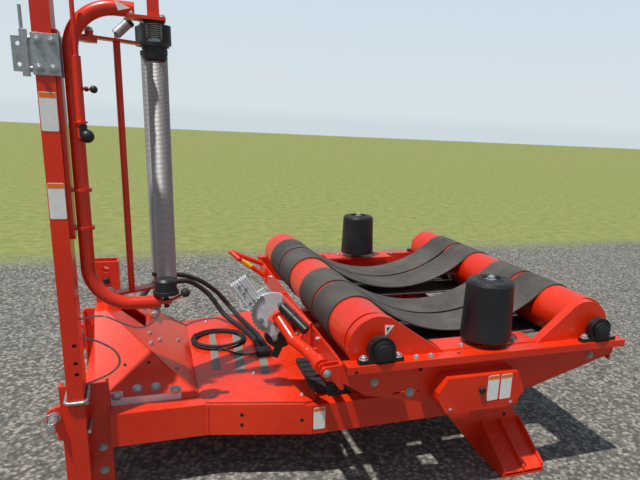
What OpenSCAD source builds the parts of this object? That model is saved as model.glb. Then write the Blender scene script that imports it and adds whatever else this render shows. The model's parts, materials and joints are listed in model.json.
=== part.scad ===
// Round bale wrapper, mounted on a tractor's three point linkage.
// Lengths are in millimetres, +Z is up and the floor is at zero.
// The modules draw in the machine's own frame: x is measured from the turning axis of the
// table, positive to the rear, and y from the centre line, positive to the machine's right.
// place() then moves everything so that the middle of the outline is at the origin.

/* [Main frame] */
// Height of the underside of the two main rails
rail_z = 197; // [150:1:240]
// Height of a rail's section
rail_h = 120; // [100:1:140]
// Width of a rail's section
rail_w = 60; // [40:1:80]
// Outer face of the rails at the hitch, from the centre line
rail_front_y = 490; // [440:1:530]
// Outer face of the rails under the table, from the centre line
rail_rear_y = 590; // [560:1:640]
// Front end of the rails
rail_front_x = -1320; // [-1400:1:-1250]
// Where the rails start to spread
flare_start_x = -995; // [-1100:1:-900]
// Where the rails are parallel again
flare_end_x = -620; // [-700:1:-560]
// Rear end of the rails
rail_rear_x = 300; // [270:1:360]
// Thickness of the deck plate
deck_t = 5; // [3:1:8]
// Rear edge of the deck plate
deck_rear_x = -520; // [-540:1:-500]
// Depth of the cross members along x
cross_w = 80; // [60:1:100]

/* [Hitch] */
// Front edge of the upright posts
post_front_x = -1475; // [-1520:1:-1450]
// Width of an upright post, along x
post_w = 155; // [130:1:160]
// Depth of an upright post's flanges
post_d = 36; // [28:1:38]
// Thickness of an upright post's plate
post_t = 9; // [6:1:12]
// Height of the upright posts
post_h = 430; // [400:1:480]
// Outer face of the upright posts, from the centre line
post_y = 450; // [430:1:480]
// Height of the lower link pins
link_z = 320; // [290:1:350]
// Distance of the lower link pins ahead of the posts
link_reach = 20; // [16:1:40]
// Diameter of the lower link pins
link_d = 28; // [22:1:37]
// Free length of a lower link pin
link_len = 92; // [70:1:120]
// Height of the top link bore
top_link_z = 735; // [700:1:760]
// Diameter of the top link bore
top_link_d = 25.5; // [19:0.5:32]
// Gap between the top link plates
top_link_gap = 58; // [48:1:80]
// Thickness of a top link plate
top_link_t = 10; // [8:1:14]
// Half width of the tower at its foot
tower_foot_y = 412; // [380:1:420]
// Half width of the tower at its top
tower_top_y = 150; // [120:1:200]
// Height of the tower's top
tower_h = 600; // [560:1:640]
// Front face of the tower
tower_front_x = -1372; // [-1390:1:-1350]
// Rear foot of the tower
tower_rear_x = -1012; // [-1060:1:-990]
// Depth of the tower's top along x
tower_top_d = 45; // [30:1:80]
// Sheet thickness of the tower
tower_t = 6; // [4:1:8]

/* [Rear legs] */
// Front end of a leg plate at the top
leg_front_x = -140; // [-180:1:-100]
// Front end of a leg plate on the floor
leg_toe_x = 118; // [80:1:140]
// Rear end of a leg's foot
leg_heel_x = 307; // [290:1:330]
// Thickness of a leg plate
leg_t = 10; // [8:1:14]
// Reach of a foot outside the leg plate
foot_reach = 200; // [160:1:230]
// Height of a foot where it meets the leg
foot_h = 156; // [120:1:180]

/* [Mast and reel holder] */
// Height of the mast's top
mast_top = 1950; // [1800:1:2050]
// Height of the mast's lower end
mast_foot = 105; // [60:1:140]
// Width of the mast, along x
mast_w = 50; // [44:1:60]
// Depth of the mast, along y
mast_d = 100; // [80:1:120]
// Wall of the mast
mast_wall = 5; // [3:1:8]
// Front face of the mast
mast_front_x = -1437; // [-1445:1:-1425]
// Lower end of the sliding clamp on the mast
clamp_z = 1433; // [1380:1:1480]
// Height of the sliding clamp
clamp_h = 112; // [90:1:140]
// Wall of the sliding clamp
clamp_wall = 4; // [3:1:5]
// Diameter of the reel holder's bent tube
hoop_d = 43; // [40:1:48]
// Distance of the bent tube's upright behind the mast
hoop_gap = 17.5; // [15:0.5:22]
// Bend radius of the bent tube, at its centre line
hoop_bend = 128; // [100:1:140]
// Height of the lower arm's centre line
hoop_low_z = 730; // [710:1:745]
// Height of the upper arm's centre line
hoop_high_z = 1637; // [1630:1:1700]
// Distance from the table's axis to the reel's axis, along x
reel_x = -1116; // [-1150:1:-1100]
// Diameter of a reel cone inside the film's core
reel_cone_d = 72; // [68:1:75]
// Height of a reel cone
reel_cone_h = 54; // [46:1:70]
// Length of the film's core, between the rims of the two reel cones
core_len = 770; // [760:1:790]
// Travel of the upper reel spindle
spindle_travel = 45; // [42:1:48]

/* [Film stretcher] */
// Pivot of the stretcher, along x
stretch_pivot_x = -1300; // [-1312:1:-1290]
// Pivot of the stretcher, along y
stretch_pivot_y = -436; // [-440:1:-430]
// Diameter of a stretch roller
stretch_d = 68; // [60:1:72]
// Distance between the two stretch rollers
stretch_pitch = 86; // [80:1:96]
// Height of the underside of the stretcher's lower plate
stretch_low_z = 742; // [730:1:750]
// Height of the underside of the stretcher's upper plate
stretch_high_z = 1554; // [1540:1:1560]
// Thickness of the stretcher's plates
stretch_t = 8; // [6:1:10]

/* [Table] */
// Distance between the axes of the two table rollers
roller_pitch = 906; // [860:1:940]
// Height of the table rollers' axes
roller_z = 620; // [610:1:640]
// Diameter of the table rollers
roller_d = 202; // [180:1:210]
// Length of the table rollers' drums
roller_len = 1480; // [1440:1:1490]
// Diameter of the table rollers' shafts
shaft_d = 40; // [30:1:50]
// Width of one belt
belt_w = 212; // [180:1:216]
// Thickness of the belts
belt_t = 5; // [4:1:8]
// Distance of the inner belts' near edge from the centre line
belt_inner_y = 105; // [90:1:120]
// Gap between the two belts of a pair
belt_gap = 20; // [10:1:30]
// Height of the lowest place of the belts' hanging run
belt_low_z = 555; // [545:1:580]
// Distance from the ends of the table rollers' drums to the outer faces of the webs
drum_end_gap = 60; // [50:1:70]
// Thickness of the side beams' plate
beam_t = 8; // [6:1:10]
// Width of the side beams' top flange outside the web
flange_w = 56; // [50:1:62]
// Height of the side beams' top
beam_top_z = 575; // [565:1:580]
// Reach of the side beams past the roller drums
beam_overhang = 21; // [16:1:46]
// Height of the web's lower edge in the middle
web_low_z = 392; // [380:1:400]
// Height of the web's lower edge at the ends
web_end_z = 498; // [480:1:520]
// Diameter of a bale cone at its foot
cone_foot_d = 190; // [170:1:216]
// Diameter of a bale cone at its top
cone_top_d = 164; // [150:1:184]
// Distance of the bale cones' axes inside the outer faces of the webs
cone_inset = 53; // [45:1:65]
// Height of a bale cone's lower edge
cone_z = 600; // [596:1:610]
// Height of a bale cone
cone_h = 223; // [200:1:260]

/* [Tipping and turning] */
// Place of the tipping axis, along x
tip_x = 190; // [180:1:200]
// Height of the tipping axis
tip_z = 262; // [250:1:270]
// Diameter of the tipping shaft
tip_d = 40; // [30:1:50]
// Distance of the tip frame's beams from the centre line
tip_beam_y = 230; // [200:1:280]
// Diameter of the slewing ring
slew_d = 420; // [360:1:460]
// Diameter of the slewing spigot
spigot_d = 160; // [120:1:200]
// Barrel diameter of the tipping cylinder
ram_d = 70; // [60:1:80]
// Rod diameter of the tipping cylinder
rod_d = 36; // [30:1:40]

/* [Hidden] */
$fn = 48;

paint = "orangered";
galvanised = "silver";
black = "dimgray";
running = 0.05;
rest_gap = 0.3;
slide_gap = 0.3;
beam_half = roller_pitch / 2 + roller_d / 2 + beam_overhang;
bearing_out = 6;
web_y = roller_len / 2 + drum_end_gap;
cone_y = web_y - cone_inset;
rail_top = rail_z + rail_h;
deck_top = rail_top + deck_t;
rail_slope = (rail_rear_y - rail_front_y) / (flare_end_x - flare_start_x);
lug_front_x = post_front_x - link_reach - link_d / 2 - 12;
case_y = web_y + 68;
lip_y = web_y + flange_w;
// The middle of the outline: the link lugs lead at the front, the side beams at the rear, the
// chain case reaches furthest on the left, and a bearing's cap or a bale cone on the right.
place_x = -(lug_front_x + beam_half) / 2;
far_reach_y = max(lip_y + bearing_out, cone_y + cone_foot_d / 2);
place_y = (case_y - far_reach_y) / 2;
mast_rear_x = mast_front_x + mast_w;
mast_y = -post_y - mast_d / 2;
hoop_x = mast_rear_x + hoop_gap + hoop_d / 2;
reel_y = mast_y;
reel_rim_h = 12;
reel_low_z = hoop_low_z + hoop_d / 2 + 5;
reel_high_z = reel_low_z + 2 * reel_rim_h + core_len;
stretch_roller_y = reel_y + 172;
front_beam_x = post_front_x + post_t + 30;
roller_x = roller_pitch / 2;
belt_r = roller_d / 2 + rest_gap;
table_beam_x = 170;
table_beam_s = 80;
table_beam_z = 400;
ring_z = 347;
ring_h = 20;

module place() {
    translate([place_x, place_y, 0]) children();
}

// Mirrors what is drawn on the left side, negative y, to the right side.
module on_right() {
    mirror([0, 1, 0]) children();
}

module tube(d, wall, h) {
    difference() {
        cylinder(d = d, h = h);
        translate([0, 0, -1]) cylinder(d = d - 2 * wall, h = h + 2);
    }
}

// Cylinder along y, from y0 to y1, centred on x and z.
module bar_y(x, z, d, y0, y1) {
    translate([x, y0, z]) rotate([-90, 0, 0]) cylinder(d = d, h = y1 - y0);
}

// Extrudes an outline drawn in x and z along y, from y0 to y1.
module slab_y(y0, y1) {
    translate([0, y1, 0]) rotate([90, 0, 0]) linear_extrude(y1 - y0) children();
}

// Straight round bar between two points.
module rod(a, b, d) {
    v = b - a;
    len = norm(v);
    translate(a) rotate([0, acos(v[2] / len), atan2(v[1], v[0])]) cylinder(d = d, h = len);
}

function unit(v) = v / norm(v);

// Round bar through the points, with a bend of radius r at each inner point.
module bent_bar(points, d, r) {
    last = len(points) - 1;
    trims = [for (i = [0 : last])
        i == 0 || i == last ? 0
        : r * tan(acos(unit(points[i] - points[i - 1]) * unit(points[i + 1] - points[i])) / 2)];
    for (i = [0 : last - 1]) {
        u = unit(points[i + 1] - points[i]);
        rod(points[i] + u * trims[i], points[i + 1] - u * trims[i + 1], d);
    }
    for (i = [1 : last - 1]) {
        u = unit(points[i] - points[i - 1]);
        v = unit(points[i + 1] - points[i]);
        turn = acos(u * v);
        n = unit(v - (u * v) * u);
        w = cross(-n, u);
        c = points[i] - u * trims[i] + n * r;
        translate(c) rotate([atan2(u[2], w[2]), asin(n[2]), atan2(-n[1], -n[0])])
            rotate_extrude(angle = turn) translate([r, 0]) circle(d = d);
    }
}

// Round bar through the points, with a slightly larger ball at each inner point.
module welded_bar(points, d) {
    for (i = [1 : len(points) - 1])
        rod(points[i - 1], points[i], d);
    for (i = [1 : len(points) - 2])
        translate(points[i]) sphere(d = d * 1.08);
}

module rail() {
    difference() {
        translate([0, 0, rail_z]) linear_extrude(rail_h) polygon([
            [rail_front_x, -rail_front_y], [flare_start_x, -rail_front_y],
            [flare_end_x, -rail_rear_y], [rail_rear_x, -rail_rear_y],
            [rail_rear_x, -rail_rear_y + rail_w], [flare_end_x, -rail_rear_y + rail_w],
            [flare_start_x, -rail_front_y + rail_w], [rail_front_x, -rail_front_y + rail_w]]);
        bar_y(tip_x, tip_z, tip_d + 2 * running, -rail_rear_y - 1, -rail_rear_y + rail_w + 1);
    }
}

module rail_left() color(paint) rail();
module rail_right() color(paint) on_right() rail();

function rail_inner(x) = (x < flare_start_x ? rail_front_y
    : x > flare_end_x ? rail_rear_y
    : rail_front_y + (x - flare_start_x) * rail_slope) - rail_w;

module cross_members() color(paint) {
    // Front beam between the hitch posts.
    translate([front_beam_x, -post_y + post_t, rail_z])
        cube([cross_w, 2 * (post_y - post_t), 90]);
    // Beam under the rear of the deck.
    translate([flare_end_x, -rail_inner(flare_end_x), rail_z])
        cube([cross_w, 2 * rail_inner(flare_end_x), rail_h]);
    // Beam the tip frame rests on, with the lugs and foot pins of the tipping cylinders.
    translate([ram_foot[0] - 30, -rail_inner(0), rail_z])
        cube([60, 2 * rail_inner(0), tip_low_z - rest_gap - rail_z]);
    for (side = [-1, 1])
        translate([0, side * ram_y, 0]) {
            for (lug_y = [-ram_lug_y, ram_lug_y])
                slab_y(lug_y - ram_lug_t / 2, lug_y + ram_lug_t / 2) polygon([
                    [ram_foot[0] - 30, rail_z + 1], [ram_foot[0] + 30, rail_z + 1],
                    [ram_foot[0] + 22, ram_foot[1] - 24], [ram_foot[0] - 22, ram_foot[1] - 24]]);
            bar_y(ram_foot[0], ram_foot[1], ram_pin_d, -ram_lug_y - 14, ram_lug_y + 14);
        }
    // Rear beam behind the tipping axis.
    translate([rail_rear_x - 55, -rail_inner(rail_rear_x), rail_z])
        cube([55, 2 * rail_inner(rail_rear_x), 60]);
}

module deck_plate() color(paint)
    translate([0, 0, rail_top]) linear_extrude(deck_t) polygon([
        [rail_front_x, -rail_front_y], [flare_start_x, -rail_front_y],
        [deck_corner_x, -rail_inner(deck_corner_x) - rail_w], [deck_rear_x, -deck_rear_y],
        [deck_rear_x, deck_rear_y], [deck_corner_x, rail_inner(deck_corner_x) + rail_w],
        [flare_start_x, rail_front_y], [rail_front_x, rail_front_y]]);

// Corners of the deck's rear edge.
deck_corner_x = -650;
deck_rear_y = 430;

module deck_buffer() color(black)
    translate([-592, -500, deck_top]) difference() {
        cube([50, 300, 26]);
        for (i = [1 : 5])
            translate([-1, i * 50 - 5, 18]) cube([52, 10, 10]);
    }

ram_foot = [-300, 130];
ram_pin_d = 30;
ram_lug_t = 12;
ram_lug_y = ram_d / 2 + ram_lug_t / 2 + 5;
ram_y = 130;
tip_low_z = tip_z - 12;

module hitch_post() {
    difference() {
        union() {
            translate([post_front_x, -post_y, 0]) cube([post_w, post_t, post_h]);
            for (x = [post_front_x, post_front_x + post_w - post_t])
                translate([x, -post_y, 0]) cube([post_t, post_d, post_h]);
            // Foot plate
            translate([post_front_x, -post_y, 0]) cube([post_w, post_d, 10]);
            // Link lug
            slab_y(-post_y, -post_y + 18) union() {
                translate([lug_front_x + 30, link_z - 90])
                    square([front_beam_x - lug_front_x - 30, 126]);
                translate([lug_front_x + 30, link_z]) circle(30);
                translate([lug_front_x, link_z - 60]) square([60, 60]);
            }
        }
        bar_y(post_front_x - link_reach, link_z, link_d + 2 * running, -post_y - 1, -post_y + 20);
    }
}

module hitch_post_left() color(paint) hitch_post();
module hitch_post_right() color(paint) on_right() hitch_post();

module link_pin() {
    x = post_front_x - link_reach;
    bar_y(x, link_z, link_d, -post_y - link_len, -post_y + 18 + 14);
    bar_y(x, link_z, link_d + 10, -post_y + 18, -post_y + 26);
    bar_y(x, link_z, link_d + 12, -post_y - 8, -post_y);
}

module link_pins() color(galvanised) {
    link_pin();
    on_right() link_pin();
}

// Wedge of the tower, its front upright and its rear sloping, with two sides leaning in. What
// is cut off at the front, rear and top is inset_x, at the sides it is inset_y.
module tower_form(inset_x, inset_y) {
    foot_y = tower_foot_y - inset_y;
    top_y = tower_top_y - inset_y;
    low = deck_top - (inset_x > 0 ? 1 : 0);
    intersection() {
        slab_y(-tower_foot_y, tower_foot_y) polygon([
            [tower_front_x + inset_x, low], [tower_rear_x - inset_x * 1.5, low],
            [tower_front_x + tower_top_d - inset_x * 0.5, tower_h - inset_x],
            [tower_front_x + inset_x, tower_h - inset_x]]);
        translate([tower_front_x, 0, 0]) rotate([90, 0, 90])
            linear_extrude(tower_rear_x - tower_front_x) polygon([
                [-foot_y, low], [foot_y, low], [top_y, tower_h + 1], [-top_y, tower_h + 1]]);
    }
}

module tower_sides() color(paint)
    difference() {
        tower_form(0, 0);
        tower_form(-2, tower_t);
    }

module tower_panels() color(paint)
    difference() {
        tower_form(0, tower_t + 0.1);
        tower_form(tower_t, 0);
        // Opening at the top of the rear panel.
        translate([tower_front_x + tower_t, tower_slot_y[0], tower_slot_z])
            cube([400, tower_slot_y[1] - tower_slot_y[0], tower_h - tower_slot_z - tower_t]);
    }

tower_slot_y = [-35, 120];
tower_slot_z = 475;
top_box_h = top_link_z + 32;

module top_link_box() color(paint) {
    top_link_x = tower_front_x + 42;
    for (side = [-1, 1])
        difference() {
            y0 = side * (top_link_gap + top_link_t) / 2 - top_link_t / 2;
            slab_y(y0, y0 + top_link_t) polygon([
                [tower_front_x, tower_h], [tower_front_x + 84, tower_h - 36],
                [tower_front_x + 84, top_box_h], [tower_front_x, top_box_h]]);
            bar_y(top_link_x, top_link_z, top_link_d, -200, 200);
            tower_form(0, 0);
        }
    // Plate that closes the rear of the top link plates.
    difference() {
        translate([tower_front_x + 84, -top_link_gap / 2 - top_link_t, tower_h - 50])
            cube([6, top_link_gap + 2 * top_link_t, top_box_h - tower_h + 50]);
        tower_form(0, 0);
    }
}

module tower_strap() color(galvanised)
    for (side = [-1, 1])
        translate([post_front_x + post_w + 2, side * (tower_foot_y + 3) - 3, deck_top]) {
            cube([240, 6, 26]);
            for (x = [0, 200]) translate([x, 0, 0]) cube([40, 6, 52]);
        }

module leg() {
    slab_y(-rail_rear_y - leg_t, -rail_rear_y) polygon([
        [leg_front_x, rail_top], [leg_toe_x, 0], [leg_heel_x, 0], [leg_heel_x + 13, 59],
        [leg_heel_x + 9, 128], [leg_heel_x - 53, 214], [leg_heel_x - 53, rail_top]]);
    // Foot: floor plate, sloping plate between two rims, and a middle rib.
    y0 = -rail_rear_y - leg_t - foot_reach;
    translate([leg_toe_x, y0, 0]) cube([leg_heel_x - leg_toe_x, foot_reach, 8]);
    for (x = [leg_toe_x, (leg_toe_x + leg_heel_x) / 2 - 4, leg_heel_x - 8])
        translate([x, 0, 0]) rotate([90, 0, 90]) linear_extrude(8) polygon([
            [-rail_rear_y - leg_t, 0], [y0, 0], [y0, 40], [-rail_rear_y - leg_t, foot_h]]);
    translate([leg_toe_x, 0, 0]) rotate([90, 0, 90]) linear_extrude(leg_heel_x - leg_toe_x) polygon([
        [-rail_rear_y - leg_t, foot_h - 30], [y0, 16], [y0, 22], [-rail_rear_y - leg_t, foot_h - 24]]);
    // Inner gusset up to the rail.
    for (x = [leg_toe_x - 60, leg_heel_x - 90])
        translate([x, 0, 0]) rotate([90, 0, 90]) linear_extrude(leg_t) polygon([
            [-rail_rear_y, rail_z], [-rail_rear_y + rail_w, rail_z],
            [-rail_rear_y + 12, 100], [-rail_rear_y, 100]]);
}

module leg_left() color(paint) leg();
module leg_right() color(paint) on_right() leg();

module mast() color(paint)
    difference() {
        translate([mast_front_x, mast_y - mast_d / 2, mast_foot])
            cube([mast_w, mast_d, mast_top - mast_foot]);
        translate([mast_front_x + mast_wall, mast_y - mast_d / 2 + mast_wall, mast_foot - 1])
            cube([mast_w - 2 * mast_wall, mast_d - 2 * mast_wall, mast_top - mast_foot - 4]);
        for (z = [510, 549, 610])
            bar_y(mast_rear_x - 15, z, 13, mast_y - mast_d, mast_y + mast_d);
    }

module mast_clamp() color(galvanised) {
    outer_x = mast_front_x - slide_gap - clamp_wall;
    inner_w = carriage_x + carriage_t + slide_gap - mast_front_x + slide_gap;
    inner_d = mast_d + 2 * slide_gap;
    difference() {
        translate([outer_x, mast_y - inner_d / 2 - clamp_wall, clamp_z])
            cube([inner_w + 2 * clamp_wall, inner_d + 2 * clamp_wall, clamp_h]);
        translate([outer_x + clamp_wall, mast_y - inner_d / 2, clamp_z - 1])
            cube([inner_w, inner_d, clamp_h + 2]);
    }
    // Ear with two holes, and the strap that carries the clamp bolts.
    difference() {
        translate([outer_x - 56, mast_y - 5, clamp_z + 8]) cube([56, 8, clamp_h - 16]);
        for (z = [28, clamp_h - 28])
            bar_y(outer_x - 40, clamp_z + z, 12, mast_y - 20, mast_y + 20);
    }
    translate([outer_x - 26, mast_y - mast_d / 2 - clamp_wall - 1, clamp_z - 6])
        cube([18, 14, clamp_h + 12]);
    translate([outer_x - 20, mast_y - mast_d / 2 - clamp_wall + 6, clamp_z + clamp_h + 6])
        cylinder(d = 9, h = 62);
    for (z = [16, clamp_h - 16])
        translate([outer_x - 8, mast_y - mast_d / 2 - clamp_wall + 6, clamp_z + z])
            rotate([0, 90, 0]) cylinder(d = 14, h = 8);
}

carriage_x = mast_rear_x + slide_gap;
carriage_z = 950;
carriage_t = 12;
carriage_w = 70;

// Flat strip that slides on the mast's rear face, with two plates that hold the bent tube.
module mast_carriage() color(paint) {
    translate([carriage_x, reel_y, carriage_z + carriage_w / 2]) rotate([0, 90, 0]) union() {
        cylinder(d = carriage_w, h = carriage_t);
        translate([carriage_z + carriage_w / 2 - carriage_top_z, -carriage_w / 2, 0])
            cube([carriage_top_z - carriage_z - carriage_w / 2, carriage_w, carriage_t]);
    }
    for (z = [carriage_z + 32, carriage_z + 150])
        translate([0, 0, z]) linear_extrude(10) difference() {
            union() {
                translate([carriage_x + carriage_t - 1, reel_y - 22])
                    square([hoop_x - carriage_x - carriage_t + 1, 44]);
                translate([hoop_x, reel_y]) circle(d = hoop_d + 16);
            }
            translate([hoop_x, reel_y]) circle(d = hoop_d + 2 * rest_gap);
        }
}

carriage_top_z = 1560;

module hoop_bend_part(z, up) {
    translate([hoop_x + hoop_bend, reel_y, z]) rotate([90, 0, 0])
        rotate([0, 0, up ? 90 : 180]) rotate_extrude(angle = 90)
            translate([hoop_bend, 0]) circle(d = hoop_d);
}

module reel_hoop() color(paint) {
    low_end = reel_x - 18;
    high_end = reel_x - 52;
    translate([hoop_x, reel_y, hoop_low_z + hoop_bend])
        cylinder(d = hoop_d, h = hoop_high_z - hoop_low_z - 2 * hoop_bend);
    hoop_bend_part(hoop_high_z - hoop_bend, true);
    hoop_bend_part(hoop_low_z + hoop_bend, false);
    for (arm = [[hoop_low_z, low_end], [hoop_high_z, high_end]])
        translate([hoop_x + hoop_bend, reel_y, arm[0]]) rotate([0, 90, 0])
            cylinder(d = hoop_d, h = arm[1] - hoop_x - hoop_bend);
    // Hinge lugs and pins of the film stretcher.
    for (side = [-1, 1]) {
        z = side < 0 ? stretch_low_z + stretch_t + rest_gap : stretch_high_z - rest_gap - 12;
        base_x = hoop_x_at(z + 6);
        translate([0, 0, z]) linear_extrude(12) union() {
            polygon([[base_x - 15, reel_y], [base_x + 15, reel_y],
                [stretch_pivot_x + 20, stretch_pivot_y - 6], [stretch_pivot_x - 18, stretch_pivot_y + 10]]);
            translate([stretch_pivot_x, stretch_pivot_y]) circle(22);
        }
        translate([stretch_pivot_x, stretch_pivot_y, z + (side < 0 ? -stretch_t - 12 : 0)])
            cylinder(d = 24, h = stretch_t + 24);
    }
    // Seat of the lower reel cone, a plate in the end of the arm.
    difference() {
        translate([low_end - 10, reel_y - 14, hoop_low_z - 6]) cube([46, 28, 12]);
        translate([reel_x, reel_y, hoop_low_z - 20])
            cylinder(d = reel_pin_d + 2 * running, h = 60);
    }
    // Knob of the lower cone's lock, beside its rim.
    rod([reel_x + 12, reel_y, hoop_low_z], [reel_x + 62, reel_y, reel_low_z], 10);
    translate([reel_x + 62, reel_y, reel_low_z]) sphere(d = 30);
    // Plate and housing of the upper spindle.
    difference() {
        union() {
            translate([high_end - 22, reel_y - 34, spindle_plate_z])
                cube([reel_x + 34 - high_end + 22, 68, 10]);
            translate([reel_x - 17, reel_y - 17, spindle_plate_z + 9])
                cube([34, 34, spindle_top_z + spindle_travel + 5 - spindle_plate_z - 9]);
        }
        translate([reel_x, reel_y, spindle_plate_z - 1])
            cylinder(d = spindle_d + 2 * running, h = 250);
    }
}

// Middle of the bent tube at a height, in its upright or in one of its bends.
function hoop_x_at(z) = hoop_x + hoop_bend - sqrt(pow(hoop_bend, 2)
    - pow(max(0, hoop_low_z + hoop_bend - z, z - hoop_high_z + hoop_bend), 2));

reel_pin_d = 16;
spindle_d = 24;
spindle_plate_z = hoop_high_z - hoop_d / 2 - 4;
spindle_top_z = hoop_high_z + 50;
lock_x = hoop_x + 16;
lock_y = reel_y - hoop_d / 2 - 14;

module reel_lock() color(paint) {
    difference() {
        union() {
            translate([lock_x, lock_y, 1309]) cylinder(d = 26, h = 184);
            translate([lock_x, lock_y, 1305]) cylinder(d = 36, h = 6);
            for (z = [1340, 1450])
                translate([lock_x - 12, lock_y, z]) cube([10, 24, 20]);
        }
        translate([hoop_x, reel_y, 1200]) cylinder(d = hoop_d + 2 * rest_gap, h = 400);
    }
    translate([lock_x, lock_y, 1493]) cylinder(d = 13, h = 172);
    translate([lock_x + 8, lock_y, 1403]) rotate([0, 90, 0]) cylinder(d = 9, h = 24);
    translate([lock_x + 41, lock_y, 1403]) sphere(d = 19);
    // Handle with its ball, under the sleeve.
    translate([lock_x + 14, lock_y, 1268]) sphere(d = 38);
    translate([lock_x, lock_y, 1262]) cylinder(d = 26, h = 44);
}

module reel_cone() {
    body_r = reel_cone_d / 2;
    rotate_extrude() polygon([
        [0, 0], [body_r + 6, 0], [body_r + 6, reel_rim_h], [body_r, reel_rim_h],
        [body_r - 1, reel_cone_h - 8], [body_r - 8, reel_cone_h], [0, reel_cone_h]]);
}

module reel_spindle() color(galvanised) {
    translate([reel_x, reel_y, reel_high_z + 11])
        cylinder(d = spindle_d, h = spindle_top_z - reel_high_z - 11);
    translate([reel_x, reel_y, reel_high_z + 0.3]) cylinder(d = 34, h = 10.7);

    translate([reel_x, reel_y, reel_high_z - 40]) cylinder(d = reel_pin_d, h = 41);
}

module reel_cone_top() color(black)
    translate([reel_x, reel_y, reel_high_z]) mirror([0, 0, 1]) difference() {
        reel_cone();
        translate([0, 0, -1]) cylinder(d = reel_pin_d + 2 * running, h = 42);
    }

module reel_cone_bottom() color(black)
    translate([reel_x, reel_y, reel_low_z]) {
        reel_cone();
        translate([0, 0, hoop_low_z - 22 - reel_low_z])
            cylinder(d = reel_pin_d, h = reel_low_z - hoop_low_z + 23);
    }

stretch_a = [reel_x + 8, stretch_roller_y];
stretch_b = [stretch_a[0] - 16, stretch_a[1] + stretch_pitch];

// Arm from the pivot to the rollers, no wider than the rollers' bearings.
module stretch_plate_outline() {
    pivot = [stretch_pivot_x, stretch_pivot_y];
    lobe = 30;
    translate(pivot) circle(24);
    translate(stretch_strut) circle(22);
    translate(stretch_a) circle(lobe);
    translate(stretch_b) circle(lobe);
    for (leg = [[pivot, stretch_strut], [stretch_strut, stretch_a], [stretch_a, stretch_b]]) {
        v = unit(leg[1] - leg[0]);
        n = [-v[1], v[0]] * 20;
        polygon([leg[0] + n, leg[1] + n, leg[1] - n, leg[0] - n]);
    }
}

stretch_strut = [-1226, -400];
strut_d = 21;

module stretch_frame() color(paint) {
    for (z = [stretch_low_z, stretch_high_z])
        translate([0, 0, z]) linear_extrude(stretch_t) difference() {
            stretch_plate_outline();
            translate(stretch_a) circle(d = 20 + 2 * running);
            translate(stretch_b) circle(d = 20 + 2 * running);
            translate([stretch_pivot_x, stretch_pivot_y]) circle(d = 24 + 2 * running);
        }
    translate([stretch_strut[0], stretch_strut[1], stretch_low_z + stretch_t - 1])
        cylinder(d = strut_d, h = stretch_high_z - stretch_low_z - stretch_t + 2);
}

module stretch_roller(p) {
    translate([p[0], p[1], stretch_low_z + stretch_t + 6])
        cylinder(d = stretch_d, h = stretch_high_z - stretch_low_z - stretch_t - 12);
    translate([p[0], p[1], stretch_low_z - 6])
        cylinder(d = 20, h = stretch_high_z - stretch_low_z + stretch_t + 12);
}

module stretch_roller_a() color("gainsboro") stretch_roller(stretch_a);
module stretch_roller_b() color("gainsboro") stretch_roller(stretch_b);

module stretch_gearcase() color(black) {
    case_z = stretch_high_z + stretch_t;
    difference() {
        translate([0, 0, case_z]) linear_extrude(gearcase_h) {
            translate(stretch_a) circle(48);
            translate(stretch_b) circle(48);
            v = unit(stretch_b - stretch_a);
            n = [-v[1], v[0]] * 46;
            polygon([stretch_a + n, stretch_b + n, stretch_b - n, stretch_a - n]);
        }
        for (p = [stretch_a, stretch_b])
            translate([p[0], p[1], 0]) cylinder(d = 40, h = case_z + 20);
    }
    for (p = [stretch_a, stretch_b])
        translate([p[0], p[1], case_z + gearcase_h - 1]) cylinder(d = 38, h = 15);
}

gearcase_h = 60;

// Spring case of the stretcher, on its pin in the upper plate.
module stretch_spring() color(galvanised) {
    a = [stretch_strut[0], stretch_strut[1], stretch_high_z + stretch_t + 14];
    rod(a, a + [44, 6, 44], 30);
    translate([stretch_strut[0], stretch_strut[1], stretch_high_z + stretch_t])
        cylinder(d = 12, h = 22);
}

module tip_frame() color(paint) {
    beam_h = ring_z - 10 - tip_low_z;
    z0 = tip_low_z;
    for (side = [-1, 1])
        translate([-480, side * tip_beam_y - 30, z0]) cube([480 + tip_x, 60, beam_h]);
    // Cross beam at the front.
    translate([-480, -tip_beam_y + 30, z0]) cube([60, 2 * tip_beam_y - 60, beam_h]);
    // Lugs and eye pins of the tipping cylinders, under the plate of the slewing ring.
    for (side = [-1, 1])
        translate([0, side * ram_y, 0]) {
            for (lug_y = [-ram_lug_y, ram_lug_y]) {
                slab_y(lug_y - ram_lug_t / 2, lug_y + ram_lug_t / 2) polygon([
                    [ram_eye[0] - 34, ring_z - 9], [ram_eye[0] + 34, ring_z - 9],
                    [ram_eye[0] + 20, ram_eye[1] - 24], [ram_eye[0] - 20, ram_eye[1] - 24]]);
                // End of the eye pin.
                bar_y(ram_eye[0], ram_eye[1], ram_pin_d, lug_y - 14, lug_y + 14);
            }
        }
    // Tipping tube and shaft.
    bar_y(tip_x, tip_z, tip_d + 34, -rail_inner(0) + 4, rail_inner(0) - 4);
    bar_y(tip_x, tip_z, tip_d, -rail_rear_y + 2, rail_rear_y - 2);
    // Plate under the slewing ring.
    translate([0, 0, ring_z - 10]) cylinder(d = slew_d + 120, h = 10);
}

module slew_base() color(galvanised)
    difference() {
        union() {
            translate([0, 0, ring_z]) cylinder(d = slew_d, h = ring_h);
            translate([0, 0, ring_z]) cylinder(d = spigot_d, h = ring_h + 32);
        }
        translate([0, 0, ring_z - 1]) cylinder(d = spigot_d - 50, h = ring_h + 40);
    }

module slew_motor() color(black) {
    translate([0, 0, 215]) cylinder(d = 118, h = ring_z - 10 - 215);
    translate([-30, -40, 180]) cube([60, 80, 36]);
}

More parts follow.
